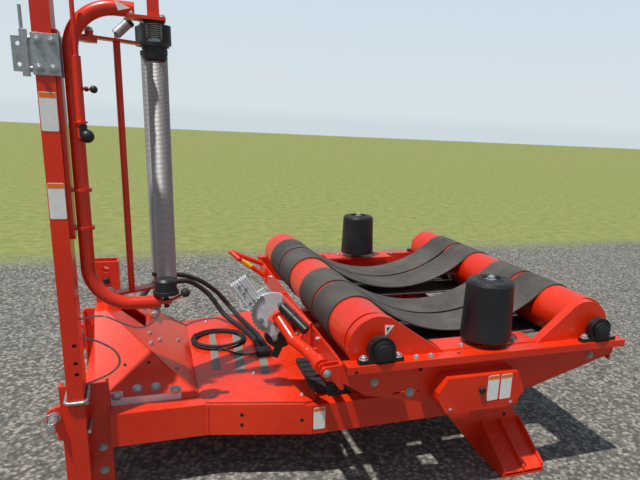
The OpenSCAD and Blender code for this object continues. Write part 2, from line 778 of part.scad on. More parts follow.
ram_eye = [80, 300];
ram_v = ram_eye - ram_foot;
ram_len = norm(ram_v);
ram_angle = atan2(ram_v[1], ram_v[0]);
ram_barrel_len = ram_len - 80;

// Draws along +x in the cylinder's own frame, from its foot pin.
module along_ram() {
    translate([ram_foot[0], 0, ram_foot[1]]) rotate([0, -ram_angle, 0]) children();
}

module tip_barrel() color(black)
    for (side = [-1, 1]) translate([0, side * ram_y, 0]) along_ram() difference() {
        union() {
            translate([24, 0, 0]) rotate([0, 90, 0]) cylinder(d = ram_d, h = ram_barrel_len - 24);
            bar_y(0, 0, 52, -30, 30);
            translate([0, -20, -20]) cube([40, 40, 40]);
        }
        bar_y(0, 0, ram_pin_d + 2 * running, -60, 60);
        translate([60, 0, 0]) rotate([0, 90, 0]) cylinder(d = rod_d + 2 * running, h = ram_len);
    }

module tip_rod() color(galvanised)
    for (side = [-1, 1]) translate([0, side * ram_y, 0]) along_ram() difference() {
        union() {
            translate([70, 0, 0]) rotate([0, 90, 0]) cylinder(d = rod_d, h = ram_len - 90);
            bar_y(ram_len, 0, 56, -24, 24);
        }
        bar_y(ram_len, 0, ram_pin_d + 2 * running, -60, 60);
    }

module table_hub() color(paint) {
    z0 = ring_z + ring_h + 1;
    difference() {
        translate([0, 0, z0]) cylinder(d = slew_d, h = table_beam_z - z0);
        translate([0, 0, z0 - 1]) cylinder(d = spigot_d + 2 * running, h = 60);
    }
    difference() {
        translate([-table_beam_x - 60, -200, table_beam_z - 10])
            cube([2 * table_beam_x + 120, 400, 10]);
        translate([0, 0, z0 - 1]) cylinder(d = spigot_d + 2 * running, h = 60);
    }
}

module table_beams() color(paint) {
    for (side = [-1, 1])
        translate([side * table_beam_x - table_beam_s / 2, -web_y + beam_t, table_beam_z])
            cube([table_beam_s, 2 * (web_y - beam_t), table_beam_s]);
    for (y = [-420, 420])
        translate([-table_beam_x, y - 30, table_beam_z]) cube([2 * table_beam_x, 60, 60]);
}

// Plates in front of and behind the rollers, between the side beams.
module table_end_plates() color(paint)
    for (side = [-1, 1])
        translate([side * (beam_half - 4) - 4, -web_y + beam_t, web_end_z - 30])
            cube([8, 2 * (web_y - beam_t), 92]);

// Outline of a roller's guard on the drive side: a disc with a tangent down to the flange.
// The foot of the tangent is foot_x behind the disc's centre.
module guard_outline(r, foot_x) {
    p = [foot_x, beam_top_z - roller_z];
    t = atan2(p[1], p[0]) + acos(guard_r / norm(p));
    intersection() {
        union() {
            circle(r = r);
            polygon([[0, 0], (r - 0.5) * [cos(t), sin(t)],
                p + (r - guard_r) * [cos(t), sin(t)], [p[0] - 10, p[1] - 20], [0, p[1] - 20]]);
        }
        translate([-300, beam_top_z - roller_z]) square([700, 400]);
    }
}

guard_r = roller_d / 2 + 4;
guard_foot_x = 200;
guard_d = 40;

// Columns: which end of the table, and the x of the guard's centre.
guards = [[-1, -roller_x], [1, roller_x - 38]];

module roller_guards() color(paint)
    for (g = guards)
        difference() {
            translate([g[1], 0, roller_z]) mirror([g[0] > 0 ? 1 : 0, 0, 0]) difference() {
                slab_y(-web_y, -web_y + guard_d) guard_outline(guard_r, abs(g[1]) - guard_foot_x);
                slab_y(-web_y + 6, -web_y + guard_d + 6)
                    guard_outline(guard_r - 5, abs(g[1]) - guard_foot_x);
            }
            bar_y(g[0] * roller_x, roller_z, shaft_d + 12, -web_y - 10, -web_y + 20);
        }

module side_beam() {
    y1 = -web_y + beam_t;
    // Web with its tapered ends, and the slot of the chain tensioner.
    difference() {
        slab_y(-web_y, y1) polygon([
            [-beam_half, beam_top_z - beam_t], [-beam_half, web_end_z], [-490, 440], [-280, web_low_z],
            [200, web_low_z], [beam_half, web_end_z], [beam_half, beam_top_z - beam_t]]);
        translate([-387, -web_y - 1, 431]) cube([102, beam_t + 2, 8]);
    }
    // Top flange and its lip.
    translate([-beam_half, -lip_y, beam_top_z - beam_t]) cube([2 * beam_half, y1 + lip_y, beam_t]);
    translate([-beam_half, -lip_y, beam_top_z - 27]) cube([2 * beam_half, beam_t, 27]);
}

module side_beam_left() color(paint) side_beam();
module side_beam_right() color(paint) on_right() side_beam();

module chain_case() color(paint) {
    slab_y(-case_y, -web_y) difference() {
        polygon([[-240, 446], [-240, 420], [-206, 364], [66, 361], [116, 416], [82, 497], [-206, 500]]);
        translate([-67, 442]) circle(d = 12);
    }
}

module bearing(x) {
    w = 30;
    y0 = -lip_y + 8;
    difference() {
        union() {
            translate([x - 80, y0 + 2, beam_top_z]) cube([160, w - 4, 15]);
            bar_y(x, roller_z, 96, y0, y0 + w);
            // Cap over the shaft's end.
            bar_y(x, roller_z, 68, -lip_y - bearing_out, y0 + 1);
        }
        bar_y(x, roller_z, shaft_d + 2 * running, y0 - 1, y0 + w + 1);
        translate([x - 60, y0 - 20, beam_top_z - 40]) cube([120, w + 40, 40]);
    }
}

module roller_bearings() color(black)
    for (x = [-roller_x, roller_x]) {
        bearing(x);
        on_right() bearing(x);
    }

module roller() {
    bar_y(0, 0, roller_d, -roller_len / 2, roller_len / 2);
    bar_y(0, 0, shaft_d, -lip_y + 10, lip_y - 10);
}

module front_roller() color(paint) translate([-roller_x, 0, roller_z]) roller();
module rear_roller() color(paint) translate([roller_x, 0, roller_z]) roller();

// The belts' path: half turns round the rollers, a straight lower run and a hanging upper run.
belt_mid_r = belt_r + belt_t / 2;
belt_drop = roller_z - belt_low_z;
sag_r = (pow(roller_x, 2) + pow(belt_drop, 2) - pow(belt_mid_r, 2)) / (2 * (belt_mid_r + belt_drop));
sag_z = belt_low_z + sag_r;
sag_angle = atan2(roller_x, sag_z - roller_z);

module belt_region(r) {
    s = [sin(sag_angle), cos(sag_angle)] * r;
    for (x = [-roller_x, roller_x])
        translate([x, roller_z]) circle(r = r, $fn = 96);
    difference() {
        polygon([[-roller_x, roller_z - r], [roller_x, roller_z - r], [roller_x, roller_z],
            [roller_x - s[0], roller_z + s[1]], [s[0] - roller_x, roller_z + s[1]],
            [-roller_x, roller_z]]);
        translate([0, sag_z]) circle(r = sag_r + belt_mid_r - r, $fn = 180);
    }
}

// Wedge that holds the hanging run, from just after it leaves one roller to just before it meets
// the other.
module belt_top_wedge() {
    reach = sag_r + 50;
    side = [sin(sag_angle - 0.6), cos(sag_angle - 0.6)] * reach;
    half = side[0] * 0.6;
    low = belt_low_z - 20;
    polygon([[0, sag_z], [side[0], sag_z - side[1]], [half, low], [-half, low],
        [-side[0], sag_z - side[1]]]);
}

module belt_section() {
    difference() {
        belt_region(belt_r + belt_t);
        belt_region(belt_r);
    }
}

module each_belt()
    for (side = [-1, 1], n = [0, 1]) {
        y0 = belt_inner_y + n * (belt_w + belt_gap);
        slab_y(side > 0 ? y0 : -y0 - belt_w, side > 0 ? y0 + belt_w : -y0) children();
    }

module belt_tops() color(black)
    each_belt() intersection() {
        belt_section();
        belt_top_wedge();
    }

module belt_returns() color(black)
    each_belt() difference() {
        belt_section();
        belt_top_wedge();
    }

module bale_cone(y) {
    r0 = cone_foot_d / 2;
    r1 = cone_top_d / 2;
    translate([0, y, cone_z]) rotate_extrude($fn = 72) difference() {
        polygon([[spindle_r + running, 0], [r0, 0], [r0, 14], [r1 + 6, cone_h - 16], [r1, cone_h - 5],
            [r1 - 12, cone_h], [34, cone_h], [34, cone_h - 10], [spindle_r + running, cone_h - 10]]);
        translate([spindle_r + 12, -1]) square([r1 - spindle_r - 26, cone_h - 20]);
    }
}

spindle_r = 15;

module cone_left() color(black) bale_cone(-cone_y);
module cone_right() color(black) bale_cone(cone_y);

module cone_pedestal() {
    translate([-200, -web_y + beam_t, beam_top_z - beam_t]) cube([400, 110, 12]);
    translate([-60, -web_y + beam_t, web_low_z + 60]) cube([120, 90, beam_top_z - web_low_z - 68]);
    translate([0, -cone_y, beam_top_z]) cylinder(d = 60, h = cone_z - beam_top_z - 2);
    translate([0, -cone_y, beam_top_z]) cylinder(r = spindle_r, h = cone_z + cone_h - 14 - beam_top_z);
}

module cone_pedestals() color(paint) {
    cone_pedestal();
    on_right() cone_pedestal();
}

module guide_bars() color(paint) {
    face = -beam_half;
    x = face - 18;
    y = web_y - 110;
    // Bar along the front roller, bent down to the end plate.
    welded_bar([[face, -430, 476], [x, -430, 476], [x, -430, 584], [x, 131, 548],
        [face, 131, 548]], 18);
    // Hoop at the far corner, on a plate against the end plate.
    difference() {
        union() {
            translate([face - 6, y - 100, web_end_z - 26]) cube([6, 120, 84]);
            welded_bar([[face + 6, y - 56, 500], [-716, y - 54, 606], [-752, y - 18, 636],
                [face + 6, y, 556]], 26);
        }
        translate([face, y - 190, 400]) cube([40, 300, 300]);
    }
}

cutter_pivot = [-beam_half - 53, 536];
// Where the arm's tube meets its boss.
cutter_y = -web_y + 90;
cutter_plate_y = -458;

// Two plates outside the arm's end, which carry its pin.
module cutter_bracket() color(paint) {
    difference() {
        for (y = [cutter_y - 82, cutter_y - 44])
            slab_y(y, y + 8) union() {
                polygon([[-beam_half, 560], [-beam_half, 480],
                    [cutter_pivot[0], cutter_pivot[1] - 20], [cutter_pivot[0], cutter_pivot[1] + 20]]);
                translate(cutter_pivot) circle(20);
            }
        bar_y(cutter_pivot[0], cutter_pivot[1], 16 + 2 * running, cutter_y - 90, cutter_y + 10);
    }
    translate([-beam_half - 6, cutter_y - 82, 470]) cube([6, 46, 90]);
}

module cutter_arm() color(paint) {
    bar_y(cutter_pivot[0], cutter_pivot[1], 16, cutter_y - 86, cutter_y - 20);
    bar_y(cutter_pivot[0], cutter_pivot[1], 58, cutter_y - 31, cutter_y + 20);
    welded_bar([[cutter_pivot[0], cutter_y, cutter_pivot[1]], [-652, cutter_y + 80, 552],
        [-690, -556, 574], [-724, cutter_plate_y - 18, 630]], 42);
    bar_y(-727, 634, 44, cutter_plate_y - 22, cutter_plate_y);
    // Lug of the strut.
    rod([-684, -572, 570], [-657.6, -572, 596.7], 16);
}

// Half round plate with two ribbed clamping bars above it.
module cutter_head() color(galvanised) {
    slab_y(cutter_plate_y, cutter_plate_y + 8) difference() {
        translate([-745, 650]) circle(r = 77);
        translate([-709, 500]) square([100, 300]);
        polygon([[-700, 656], [-734, 651], [-762, 628], [-764, 594], [-780, 560], [-700, 560]]);
    }
    // Clamping bars: unit vectors along and across them.
    u = [0.55, -0.835];
    n = [0.835, 0.55];
    for (side = [-1, 1]) {
        c = [-836, 728] + n * side * 17;
        slab_y(cutter_plate_y + 8, cutter_plate_y + 38) difference() {
            polygon([c - u * 56 - n * 15, c + u * 56 - n * 15, c + u * 56 + n * 15,
                c - u * 56 + n * 15]);
            // Grooves along the bar.
            for (k = [-8, 0, 8]) {
                g = c + n * k;
                polygon([g - u * 60 - n * 1.5, g + u * 44 - n * 1.5, g + u * 44 + n * 1.5,
                    g - u * 60 + n * 1.5]);
            }
        }
    }
    // Bracket of the blade's disc, and bridge from the plate to the bars.
    slab_y(cutter_plate_y + 7, cutter_plate_y + 16)
        polygon([[-800, 610], [-775, 640], [-715, 575], [-735, 535]]);
    slab_y(cutter_plate_y + 7, cutter_plate_y + 20)
        polygon([[-812, 664], [-782, 648], [-752, 690], [-790, 712]]);
}

module cutter_strut() color(black) {
    rod([-714, -480, 678], [-645, -572, 610], 36);
    bar_y(-714, 678, 12, -484, cutter_plate_y);
    // Disc and lever of the blade, behind the half round plate.
    bar_y(-736, 548, 68, cutter_plate_y + 16, cutter_plate_y + 40);
    slab_y(cutter_plate_y + 18, cutter_plate_y + 28)
        polygon([[-718, 530], [-694, 518], [-722, 458], [-748, 470]]);
}

// Hoses and lines. A route's points are the middles of its tube.
gland = [-702, -60];
hose_d = 24;
line_d = 8;
coil_c = [-880, 150];
coil_r = 115;
coil_bundle = 30;
hose_a_route = [[-688, -28, 336], [-690, 60, 336], [-698, 160, 336], [-712, 260, 336],
    [-730, 360, 337], [-750, 450, 343], [-776, 505, 368], [-796, 520, 393], [-827, 522, 433],
    [-859, 520, 469], [-932, 505, 528], [-1030, 470, 572], [-1110, 430, 572], [-1170, 345, 553],
    [-1202, 275, 532], [-1215, 225, 523]];
hose_b_route = [[-718, -28, 336], [-719, 60, 336], [-726, 150, 336], [-744, 240, 336],
    [-766, 320, 337], [-790, 378, 343], [-824, 416, 367], [-850, 436, 402], [-878, 447, 446],
    [-912, 455, 485], [-980, 440, 540], [-1045, 405, 555], [-1098, 350, 540], [-1134, 290, 508],
    [-1150, 235, 484], [-1155, 190, 469]];
coil_line_route = [[-738, -60, 331], [-775, -60, 330], [-812, -46, 330], [-845, -18, 332],
    [-866, 12, 335], [-880, 35, 337]];
lanyard_route = [[-1140, -500, 708.2], [-1142, -500, 685], [-1158, -500, 662], [-1188, -500, 643],
    [-1220, -500, 643], [-1252, -500, 657], [-1280, -500, 673], [-1308, -500, 688],
    [-1335, -500, 691], [-1362, -500, 689], [-1386, -500, 683]];
loop_route = [[-1385.3, -460, 606], [-1349, -460, 592], [-1320, -460, 575], [-1294, -460, 554],
    [-1279, -460, 527], [-1279, -460, 500], [-1297, -460, 477], [-1330, -460, 457],
    [-1385.3, -460, 437]];

function at(r, i) = r[max(0, min(len(r) - 1, i))];
// Point on the smooth curve through the route, at share t of its stretch i.
function smooth(r, i, t) = 0.5 * (2 * at(r, i) + (at(r, i + 1) - at(r, i - 1)) * t
    + (2 * at(r, i - 1) - 5 * at(r, i) + 4 * at(r, i + 1) - at(r, i + 2)) * t * t
    + (3 * at(r, i) - at(r, i - 1) - 3 * at(r, i + 1) + at(r, i + 2)) * t * t * t);

// Tube of diameter d swept along a route, with two rings in each stretch. The rings are turned
// about the direction side, which no stretch runs along.
module swept_tube(route, d, side) {
    sides = 10;
    steps = 2;
    mids = [for (i = [0 : len(route) - 2], k = [0 : steps - 1]) smooth(route, i, k / steps),
        route[len(route) - 1]];
    last = len(mids) - 1;
    rings = [for (i = [0 : last])
        let (t = unit(at(mids, i + 1) - at(mids, i - 1)), u = unit(cross(side, t)), v = cross(t, u))
        for (k = [0 : sides - 1])
            mids[i] + d / 2 * (u * cos(360 * k / sides) + v * sin(360 * k / sides))];
    walls = [for (i = [0 : last - 1], k = [0 : sides - 1])
        let (a = i * sides + k, b = i * sides + (k + 1) % sides)
        [a, a + sides, b + sides, b]];
    polyhedron(points = rings, faces = concat(walls, [[for (k = [0 : sides - 1]) k]],
        [[for (k = [sides - 1 : -1 : 0]) last * sides + k]]), convexity = 6);
}

module hose_gland() color(black)
    translate([gland[0] - 36, gland[1] - 32, deck_top]) cube([64, 64, 28]);

module hose_a() color(black) swept_tube(hose_a_route, hose_d, [0, 0, 1]);
module hose_b() color(black) swept_tube(hose_b_route, hose_d, [0, 0, 1]);
module coil_line() color(black) swept_tube(coil_line_route, line_d, [0, 0, 1]);

module hose_coil() color(black)
    translate([coil_c[0], coil_c[1], deck_top + coil_bundle / 2 + 0.5])
        rotate_extrude() translate([coil_r, 0]) circle(d = coil_bundle);

module hose_couplings() color(galvanised) {
    rod([-1215, 224.5, 524], [-1221, 172, 529], 28);
    rod([-1155, 189.5, 471], [-1160, 136, 475], 28);
}

module lanyard() color(galvanised) swept_tube(lanyard_route, 6, [0, 1, 0]);
module loop_cable() color(galvanised) swept_tube(loop_route, 7, [0, 1, 0]);

place() rail_left();
place() rail_right();
place() cross_members();
place() deck_plate();
place() deck_buffer();
place() hitch_post_left();
place() hitch_post_right();
place() link_pins();
place() tower_sides();
place() tower_panels();
place() top_link_box();
place() tower_strap();
place() leg_left();
place() leg_right();
place() mast();
place() mast_clamp();
place() mast_carriage();
place() reel_hoop();
place() reel_lock();
place() reel_spindle();
place() reel_cone_top();
place() reel_cone_bottom();
place() stretch_frame();
place() stretch_gearcase();
place() stretch_roller_a();
place() stretch_roller_b();
place() stretch_spring();
place() tip_frame();
place() slew_base();
place() slew_motor();
place() tip_barrel();
place() tip_rod();
place() table_hub();
place() table_beams();
place() table_end_plates();
place() side_beam_left();
place() side_beam_right();
place() roller_guards();
place() chain_case();
place() roller_bearings();
place() belt_tops();
place() belt_returns();
place() cone_pedestals();
place() guide_bars();
place() cutter_bracket();
place() front_roller();
place() rear_roller();
place() cone_left();
place() cone_right();
place() cutter_arm();
place() cutter_head();
place() cutter_strut();
place() hose_gland();
place() hose_couplings();
place() hose_a();
place() hose_b();
place() coil_line();
place() hose_coil();
place() lanyard();
place() loop_cable();
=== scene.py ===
import json
import math
import bpy
import bmesh
from mathutils import Matrix, Vector


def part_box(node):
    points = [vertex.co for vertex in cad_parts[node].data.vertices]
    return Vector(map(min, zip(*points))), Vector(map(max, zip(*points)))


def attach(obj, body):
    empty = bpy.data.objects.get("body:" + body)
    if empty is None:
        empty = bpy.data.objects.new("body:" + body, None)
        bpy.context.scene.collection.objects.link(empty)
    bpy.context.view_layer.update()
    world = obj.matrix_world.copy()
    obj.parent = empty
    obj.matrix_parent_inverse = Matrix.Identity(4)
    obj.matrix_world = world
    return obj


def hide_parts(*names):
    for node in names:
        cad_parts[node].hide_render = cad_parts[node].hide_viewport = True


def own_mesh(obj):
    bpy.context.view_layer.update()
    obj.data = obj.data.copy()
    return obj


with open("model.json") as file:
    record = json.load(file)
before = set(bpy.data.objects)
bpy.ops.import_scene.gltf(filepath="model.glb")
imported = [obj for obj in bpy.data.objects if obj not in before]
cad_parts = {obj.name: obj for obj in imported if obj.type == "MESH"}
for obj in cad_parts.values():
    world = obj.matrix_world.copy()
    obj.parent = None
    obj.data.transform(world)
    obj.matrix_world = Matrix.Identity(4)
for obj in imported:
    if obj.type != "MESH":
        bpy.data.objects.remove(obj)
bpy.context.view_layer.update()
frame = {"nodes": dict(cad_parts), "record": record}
NODES = frame["nodes"]

# Places on the machine, in millimetres from the table's turning axis and the floor.
DECK_Z = 322
REEL_X, REEL_Y = -1116, -500
REEL_LOW_Z = 756.5
LOCK_X, LOCK_Y = -1332, -535.5
MAST_X, MAST_FACE_Y = -1412, -550
ROLLER_X, ROLLER_Z = 453, 620
WEB_Y = 800
BEAM_END_X = 575
BEAM_TOP_Z = 575
CASE_Y = -868
CONE_Y = 747
HINGE_X, HINGE_Z = -628, 536
BLADE_X, BLADE_Z, BLADE_Y = -745, 650, -458
STRUT_TOP, STRUT_FOOT = (-714, -480, 678), (-645, -572, 610)
TOWER_FOOT_Y = -412
TOWER_SLOPE = 0.9424

# Directions: near is the side that the photograph shows, front is the hitch.
NEAR, FAR, FRONT, REAR, UP, DOWN = (0, -1, 0), (0, 1, 0), (-1, 0, 0), (1, 0, 0), (0, 0, 1), (0, 0, -1)

# The CAD is drawn from the table's turning axis. PX and PY lead from there to the row frame.
PX = (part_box("cone_left")[0].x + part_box("cone_left")[1].x) / 2
PY = (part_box("front_roller")[0].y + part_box("front_roller")[1].y) / 2


def P(x, y, z):
    """A point given in the machine's millimetres, as metres in the row frame."""
    return Vector((x / 1000 + PX, y / 1000 + PY, z / 1000))


# Camera

cam_data = bpy.data.cameras.new("camera")
cam = bpy.data.objects.new("camera", cam_data)
bpy.context.scene.collection.objects.link(cam)
bpy.context.scene.camera = cam
cam_data.sensor_width = 36.0
cam_data.lens = 33.10
cam_data.shift_x = -0.0893
cam_data.shift_y = 0.0715
cam_data.clip_start = 0.05
cam_data.clip_end = 400
right = Vector((0.934138, -0.353476, 0.049399))
down = Vector((-0.048619, -0.263141, -0.963532))
ahead = Vector((0.353584, 0.89767, -0.262995))
turn = Matrix((right, -down, -ahead)).transposed().to_4x4()
cam.matrix_world = Matrix.Translation(P(-1152, -2540, 1343)) @ turn


# Materials

def srgb(r, g, b):
    def lin(c):
        c /= 255
        return c / 12.92 if c <= 0.04045 else ((c + 0.055) / 1.055) ** 2.4
    return (lin(r), lin(g), lin(b), 1.0)


def shade(base, step):
    """The colour base, lighter or darker by step."""
    return srgb(*[min(max(c + step, 0), 255) for c in base])


class Mat:
    """Small wrapper that builds a node material."""

    def __init__(self, name, color, rough=0.5, metal=0.0):
        self.m = bpy.data.materials.new(name)
        self.m.use_nodes = True
        self.t = self.m.node_tree
        self.b = self.t.nodes["Principled BSDF"]
        self.b.inputs["Base Color"].default_value = color
        self.b.inputs["Roughness"].default_value = rough
        self.b.inputs["Metallic"].default_value = metal
        self.geo = self.node("ShaderNodeNewGeometry")
        self.pos = self.geo.outputs["Position"]

    def node(self, kind, **props):
        n = self.t.nodes.new(kind)
        for k, v in props.items():
            setattr(n, k, v)
        return n

    def link(self, a, b):
        self.t.links.new(a, b)

    def noise(self, scale, detail=4, rough=0.55):
        n = self.node("ShaderNodeTexNoise")
        n.inputs["Scale"].default_value = scale
        n.inputs["Detail"].default_value = detail
        n.inputs["Roughness"].default_value = rough
        self.link(self.pos, n.inputs["Vector"])
        return n.outputs["Fac"]

    def ramp(self, fac, *stops):
        n = self.node("ShaderNodeValToRGB")
        e = n.color_ramp.elements
        while len(e) < len(stops):
            e.new(0.5)
        for i, (p, c) in enumerate(stops):
            e[i].position = p
            e[i].color = c
        self.link(fac, n.inputs["Fac"])
        return n.outputs["Color"]

    def gray(self, fac, lo, hi, a=0.0, b=1.0):
        n = self.node("ShaderNodeMapRange")
        n.inputs["From Min"].default_value = lo
        n.inputs["From Max"].default_value = hi
        n.inputs["To Min"].default_value = a
        n.inputs["To Max"].default_value = b
        self.link(fac, n.inputs["Value"])
        return n.outputs["Result"]

    def math(self, op, a, b=0.0):
        n = self.node("ShaderNodeMath", operation=op)
        for i, v in enumerate((a, b)):
            if isinstance(v, (int, float)):
                n.inputs[i].default_value = v
            else:
                self.link(v, n.inputs[i])
        return n.outputs[0]

    def mix(self, fac, a, b):
        n = self.node("ShaderNodeMix", data_type="RGBA")
        for key, v in ((0, fac), (6, a), (7, b)):
            if isinstance(v, (int, float, tuple)):
                n.inputs[key].default_value = v
            else:
                self.link(v, n.inputs[key])
        return n.outputs[2]

    def axis(self, i):
        n = self.node("ShaderNodeSeparateXYZ")
        self.link(self.pos, n.inputs[0])
        return n.outputs[i]

    def normal_axis(self, i):
        n = self.node("ShaderNodeSeparateXYZ")
        self.link(self.geo.outputs["Normal"], n.inputs[0])
        return n.outputs[i]

    def color(self, out):
        self.link(out, self.b.inputs["Base Color"])

    def rough(self, out):
        self.link(out, self.b.inputs["Roughness"])

    def bump(self, height, strength=0.3, distance=0.001, bevel=0.0):
        n = self.node("ShaderNodeBump")
        n.inputs["Strength"].default_value = strength
        n.inputs["Distance"].default_value = distance
        self.link(height, n.inputs["Height"])
        if bevel:
            self.link(self.bevel_out(bevel), n.inputs["Normal"])
        self.link(n.outputs[0], self.b.inputs["Normal"])

    def bevel_out(self, radius):
        n = self.node("ShaderNodeBevel", samples=4)
        n.inputs["Radius"].default_value = radius
        return n.outputs[0]


def paint_material(name):
    m = Mat(name, srgb(226, 45, 7), rough=0.3)
    big = m.noise(1.7, 3)
    fine = m.noise(38, 5, 0.7)
    tone = m.ramp(m.noise(3.1, 4), (0.3, srgb(212, 37, 3)), (0.7, srgb(234, 53, 11)))
    # Dust lies on faces that look up, and thicker near the floor.
    up = m.gray(m.normal_axis(2), 0.55, 1.0)
    low = m.gray(m.axis(2), 0.45, 0.0)
    settled = m.math("ADD", m.math("MULTIPLY", up, 0.22), m.math("MULTIPLY", low, 0.22))
    dust = m.math("MULTIPLY", m.gray(fine, 0.42, 0.72), settled)
    dust = m.math("MULTIPLY", dust, 0.4)
    m.color(m.mix(dust, tone, srgb(206, 140, 100)))
    m.rough(m.math("ADD", m.gray(big, 0.3, 0.7, 0.22, 0.36), m.math("MULTIPLY", dust, 0.5)))
    m.bump(m.noise(190, 2), 0.05, 0.0006, bevel=0.0016)
    m.b.inputs["Coat Weight"].default_value = 0.2
    m.b.inputs["Coat Roughness"].default_value = 0.12
    return m.m


def metal_material(name, base, rough, speckle, metal=0.7):
    """speckle: how far the shades of grey lie from base."""
    m = Mat(name, srgb(*base), rough=rough, metal=metal)
    n = m.noise(60, 4, 0.6)
    m.color(m.ramp(n, (0.3, shade(base, -speckle)), (0.7, shade(base, speckle))))
    m.rough(m.gray(m.noise(24, 3), 0.3, 0.7, rough - 0.08, rough + 0.14))
    m.bump(n, 0.1, 0.0004, bevel=0.001)
    return m.m


def ribbed_material(name):
    m = Mat(name, srgb(220, 222, 223), rough=0.46, metal=0.4)
    rib_pitch = 0.0042
    ridge = m.math("SINE", m.math("MULTIPLY", m.axis(2), 2 * math.pi / rib_pitch))
    # The grooves between the ribs are painted dark as shade.
    m.color(m.mix(m.gray(ridge, -1, 0.4), srgb(110, 112, 113), srgb(206, 207, 208)))
    m.bump(ridge, 0.9, 0.0008)
    return m.m


def plastic_material(name, base, rough, grain):
    m = Mat(name, srgb(*base), rough=rough)
    n = m.noise(9, 4)
    patches = m.gray(m.noise(30, 5, 0.7), 0.35, 0.8, 0.0, 0.35)
    dust = m.math("MULTIPLY", m.gray(m.normal_axis(2), 0.2, 1.0), patches)
    c = m.ramp(n, (0.3, shade(base, -5)), (0.7, shade(base, 7)))
    m.color(m.mix(dust, c, srgb(110, 106, 100)))
    m.rough(m.gray(m.noise(14, 3), 0.3, 0.7, rough - 0.06, rough + 0.12))
    m.bump(m.noise(grain, 2), 0.18, 0.0004, bevel=0.0015)
    return m.m


def belt_material(name):
    m = Mat(name, srgb(70, 66, 62), rough=0.72)
    # Woven surface with a diagonal line, dusty in patches.
    x, y = m.axis(0), m.axis(1)
    a = m.math("SINE", m.math("MULTIPLY", m.math("ADD", x, m.math("MULTIPLY", y, 0.8)), 1150))
    b = m.math("SINE", m.math("MULTIPLY", m.math("SUBTRACT", x, y), 560))
    weave = m.math("MULTIPLY", m.math("ADD", a, b), 0.5)
    up = m.gray(m.normal_axis(2), 0.1, 1.0)
    dust = m.math("MULTIPLY", up, m.gray(m.noise(5, 6, 0.65), 0.28, 0.75))
    c = m.mix(dust, srgb(56, 54, 53), srgb(110, 104, 97))
    c = m.mix(m.gray(weave, -1, 1, 0.0, 0.25), c, srgb(30, 29, 29))
    m.color(c)
    m.bump(weave, 0.35, 0.0006)
    return m.m


def rubber_material(name, base):
    m = Mat(name, srgb(*base), rough=0.68)
    n = m.noise(40, 5, 0.7)
    m.color(m.ramp(n, (0.35, srgb(*base)), (0.75, shade(base, 22))))
    m.bump(m.noise(300, 3), 0.2, 0.0005, bevel=0.0015)
    return m.m


def flat_material(name, base, rough=0.45):
    m = Mat(name, srgb(*base), rough=rough)
    n = m.noise(60, 4)
    m.color(m.ramp(n, (0.3, shade(base, -6)), (0.7, shade(base, 6))))
    m.bump(m.noise(500, 2), 0.05, 0.0003)
    return m.m


PAINT = paint_material("orange_red_paint")
ZINC = metal_material("zinc_plate", (176, 180, 182), 0.36, 15)
STEEL = metal_material("bright_steel", (150, 150, 148), 0.3, 12)
PLASTIC = plastic_material("black_plastic", (24, 26, 30), 0.42, 700)
BLACK = plastic_material("black_paint", (20, 20, 21), 0.34, 300)
BELT = belt_material("belt_rubber")
RUBBER = rubber_material("black_rubber", (30, 30, 31))
RIBBED = ribbed_material("ribbed_aluminium")
WHITE = flat_material("white_label", (232, 232, 228))
ORANGE = flat_material("orange_label", (236, 120, 40))
YELLOW = flat_material("yellow_reflector", (240, 190, 40), 0.25)
GRIT = rubber_material("grit_strip", (120, 116, 110))
BRIGHT = metal_material("bright_zinc", (214, 218, 222), 0.5, 9, metal=0.35)
HOSE = rubber_material("hose_rubber", (24, 25, 27))
WIRE = metal_material("wire", (150, 152, 150), 0.45, 18)
# Near black for the painted shade in holes and along the deck seam, and for printed marks.
SHADE_AND_PRINT_BLACK = flat_material("shade_and_print_black", (14, 12, 12), 0.8)

SLOT_MATERIAL = {"paint": PAINT, "galvanised": ZINC, "black_steel": BLACK, "black_plastic": PLASTIC,
                 "rubber": RUBBER, "aluminium": RIBBED}
for part in frame["record"]["subparts"]:
    o = NODES[part["node"]]
    o.data.materials.clear()
    o.data.materials.append(SLOT_MATERIAL[part["material_slot"]])
for name, material in (("belt_tops", BELT), ("belt_returns", BELT),
                       ("tower_strap", BRIGHT), ("cutter_head", BRIGHT)):
    NODES[name].data.materials[0] = material
for o in NODES.values():
    o.data.polygons.foreach_set("use_smooth", [True] * len(o.data.polygons))
    o.data.set_sharp_from_angle(angle=math.radians(32))


# Pieces: each is built in millimetres of the machine's own frame and rides on one body.

def circle(n):
    """Angles of n points round a circle."""
    return [2 * math.pi * k / n for k in range(n)]


def disc(r, t):
    """Profile of a flat disc of radius r and thickness t."""
    return [(0, r), (t, r)]


